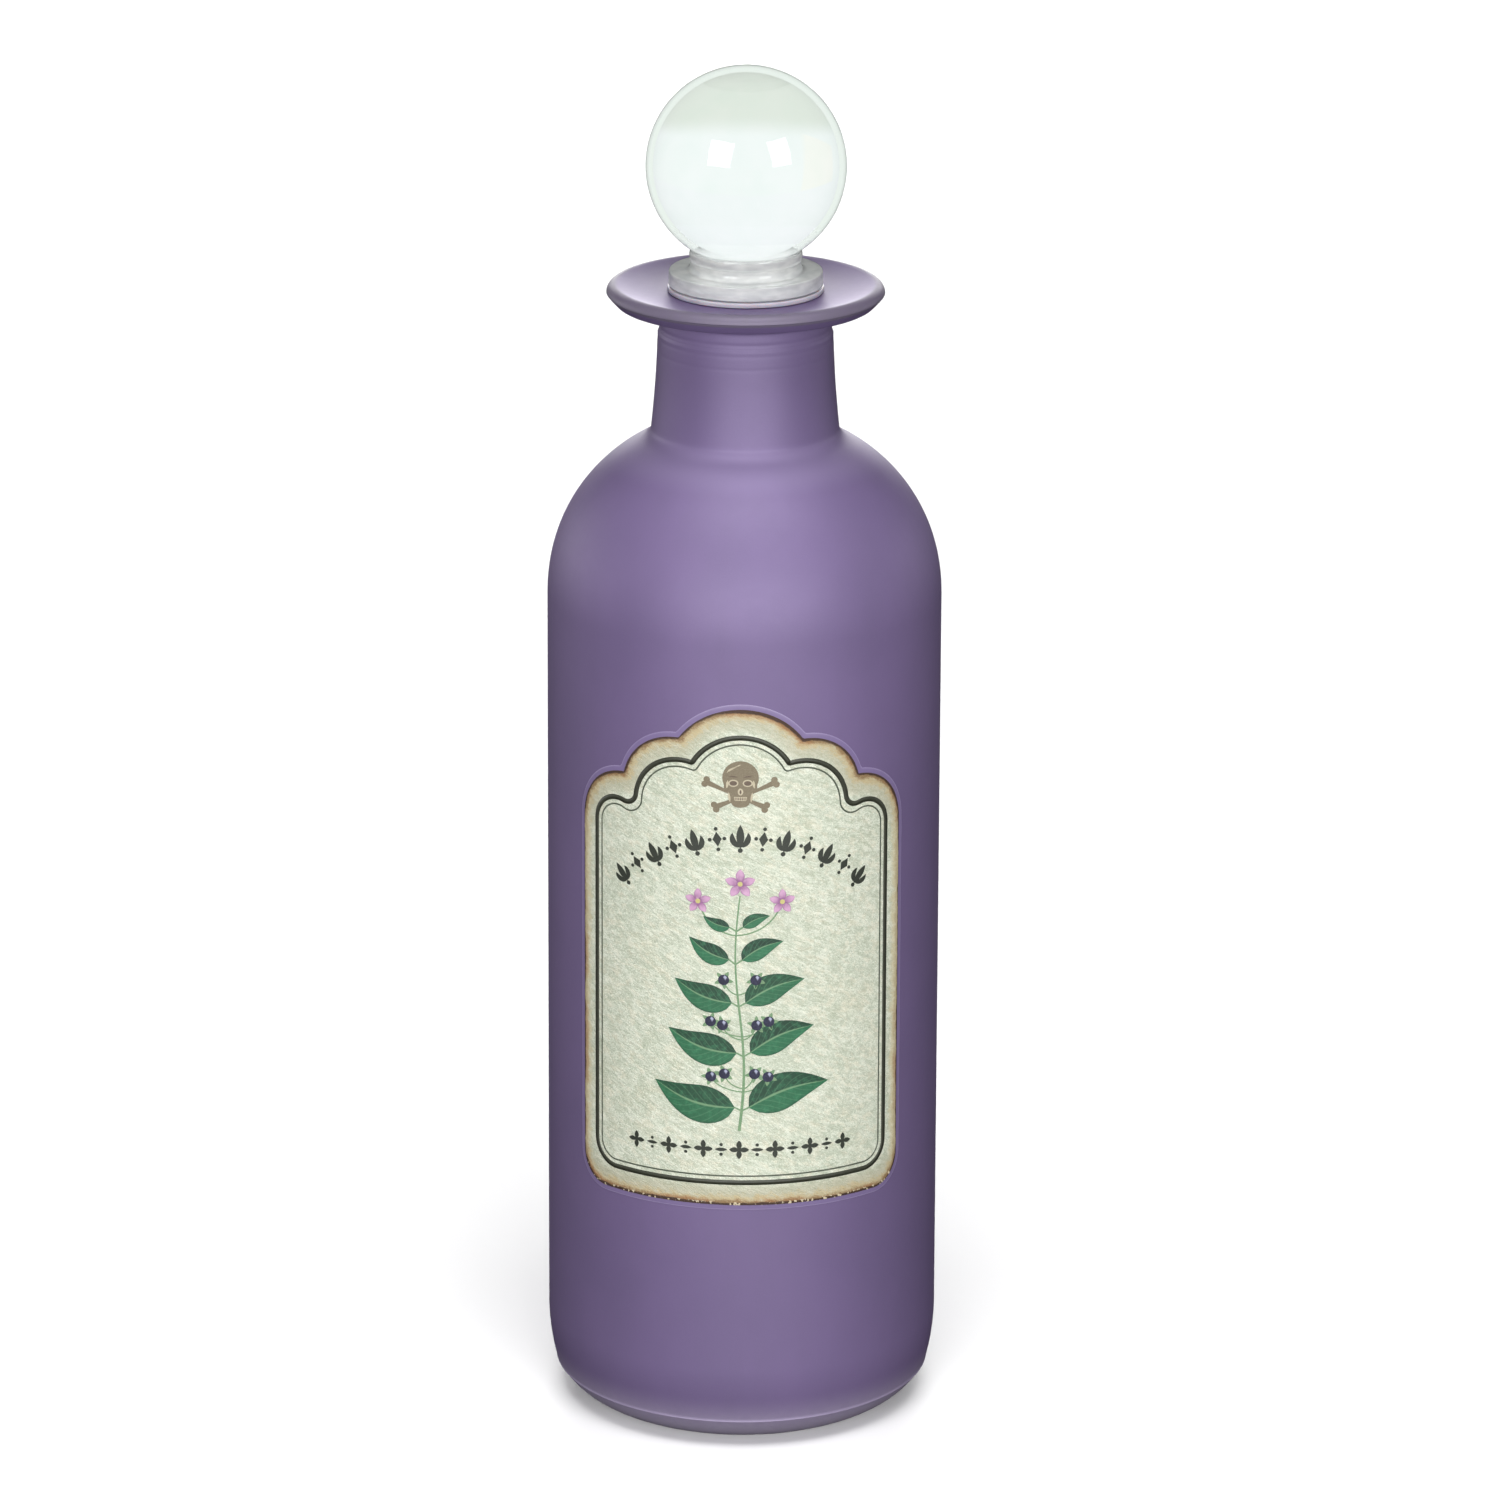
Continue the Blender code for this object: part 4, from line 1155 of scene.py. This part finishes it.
studioSize = {
    "floorSpan": 9.0, "aim": 0.2, "skyGlow": 1.03, "cardRadii": (0.045, 9.0), "cardHeight": 0.002,
    # round the aim: azimuth, elevation, distance, width, height, power
    "panels": {"panelFront": (4, 8, 1.45, 2.4, 0.7, 39.0), "panelTop": (5, 71, 1.3, 1.0, 0.7, 16.8),
               "panelBehind": (180, 17, 2.5, 1.5, 1.3, 28.0), "sideLeft": (-110, 4, 1.5, 1.6, 0.4, 6.8),
               "sideRight": (110, 4, 1.5, 1.6, 0.4, 2.8), "panelBack": (180, 6, 2.4, 1.6, 0.5, 14.0)},
    "windows": {"windowLeft": (-31.4, 26, 1.3, 0.62, 0.63, 9.0),
                "windowRight": (43.3, 26, 1.3, 0.53, 0.63, 8.0)},
}


def floorPaint():
    net = Finish("paleFloor")
    cloud, fine = net.noise(0.004, 2.0, 0.5), net.noise(0.8, 2.0, 0.5)
    base = net.mix(cloud, (0.94, 0.94, 0.94, 1), (0.96, 0.96, 0.96, 1))
    return net.done(Base_Color=base, Roughness=0.6 + fine * 0.1, Normal=net.bump(fine, 0.02, 0.2))


def stagePiece(name, corners, faces, material):  # it throws no light back on the bottle
    piece = meshPiece(name, corners, faces=faces)
    piece.data.materials.append(material)
    piece.visible_diffuse = piece.visible_glossy = False
    return piece


def makeSky():  # a pale tent, seen but giving no light of its own
    sky = bpy.data.worlds.new("paleTent")
    sky.use_nodes = True
    glow = sky.node_tree.nodes["Background"].inputs
    glow["Color"].default_value, glow["Strength"].default_value = (0.97, 0.99, 1.0, 1), studioSize["skyGlow"]
    sky.cycles_visibility.diffuse = sky.cycles_visibility.glossy = False
    bpy.context.scene.world = sky


def cardGlow():  # a glowing card: greener and darker near the bottle as painted shade on the floor there, warmer far out on one side as painted light
    net = Finish("whiteCard")
    parts = net.split(net.place)
    across, along = parts * mm, parts.out("Y") * mm
    radius = (across * across + along * along) ** 0.5
    # painted shade: the floor close to the bottle, greyer and greener
    tone = net.mix(radius.rise(0.4, 0.62), (0.8, 0.85, 0.775, 1), (0.965, 1, 0.99, 1))
    # painted light: a warm patch far out on one side
    warm = (across * -1 - along * 0.44).rise(0, 0.06) * along.above(0.5)
    tone = net.mix(warm * (across * -1 - along * 1.1).rise(0.06, 0), tone, (1, 1, 0.95, 1))
    return net.done(Base_Color=(0, 0, 0, 1), Emission_Color=tone, Emission_Strength=studioSize["skyGlow"],
                    Specular_IOR_Level=0.0)


def makeCard(steps=64):  # a pale ring on the floor that only clear pieces show
    corners = [(x, y, studioSize["cardHeight"]) for radius in studioSize["cardRadii"]
               for x, y in arc((0, 0), radius, 0, 2 * math.pi, steps)[:-1]]
    faces = [(step, steps + step, steps + (step + 1) % steps, (step + 1) % steps) for step in range(steps)]
    card = stagePiece("whiteCard", corners, faces, cardGlow())
    card.visible_camera = card.visible_shadow = False


def addLight(name, azimuth, elevation, distance, width, height, power):
    a, e = math.radians(azimuth), math.radians(elevation)
    away = Vector((math.sin(a) * math.cos(e), -math.cos(a) * math.cos(e), math.sin(e)))
    light = bpy.data.lights.new(name, "AREA")
    light.shape, light.size, light.size_y, light.energy = "RECTANGLE", width, height, power
    lamp = bpy.data.objects.new(name, light)
    bpy.context.scene.collection.objects.link(lamp)
    lamp.location = Vector((0, 0, studioSize["aim"])) + away * distance
    lamp.rotation_euler = away.to_track_quat("Z", "Y").to_euler()
    lamp.visible_camera = lamp.visible_transmission = False
    return lamp


def onlyFor(lamp, name, way):  # the lamp lights one piece alone, or all but it
    group = bpy.data.collections.get(name + way) or bpy.data.collections.new(name + way)
    if not group.objects:
        group.objects.link(bpy.data.objects[name])
        group.collection_objects[0].light_linking.link_state = way
    lamp.light_linking.receiver_collection = group


def makeStudio():
    size = studioSize
    half = size["floorSpan"] / 2
    corners = [(-half, -half, 0), (half, -half, 0), (half, half, 0), (-half, half, 0)]
    stagePiece("floor", corners, [(0, 1, 2, 3)], floorPaint())
    makeCard()
    for name, panel in {**size["panels"], **size["windows"]}.items():
        onlyFor(addLight(name, *panel), "ball_stopper", "INCLUDE" if name in size["windows"] else "EXCLUDE")
    makeSky()
    bpy.context.scene.view_settings.view_transform = "Standard"


shot = {"distance": 1.301, "height": 0.5577, "azimuth": 0.85, "aside": 0.00125, "pitch": 17.881, "roll": 0.25,
        "focal": 160.79, "sensor": 36.0}


def makeCamera():
    camera = bpy.data.cameras.new("shot")
    camera.lens, camera.sensor_width = shot["focal"], shot["sensor"]
    camera.clip_start, camera.clip_end = 0.05, 30
    eye = bpy.data.objects.new("shot", camera)
    bpy.context.scene.collection.objects.link(eye)
    azimuth = math.radians(shot["azimuth"])
    right = Vector((math.cos(azimuth), math.sin(azimuth), 0))
    back = Vector((math.sin(azimuth), -math.cos(azimuth), 0))
    place = back * shot["distance"] + right * shot["aside"] + Vector((0, 0, shot["height"]))
    tilt = Matrix.Rotation(azimuth, 4, "Z") @ Matrix.Rotation(quarter - math.radians(shot["pitch"]), 4, "X")
    eye.matrix_world = Matrix.Translation(place) @ tilt @ Matrix.Rotation(math.radians(shot["roll"]), 4, "Z")
    bpy.context.scene.camera = eye


makeStudio()
makeCamera()
print("studio and camera set")
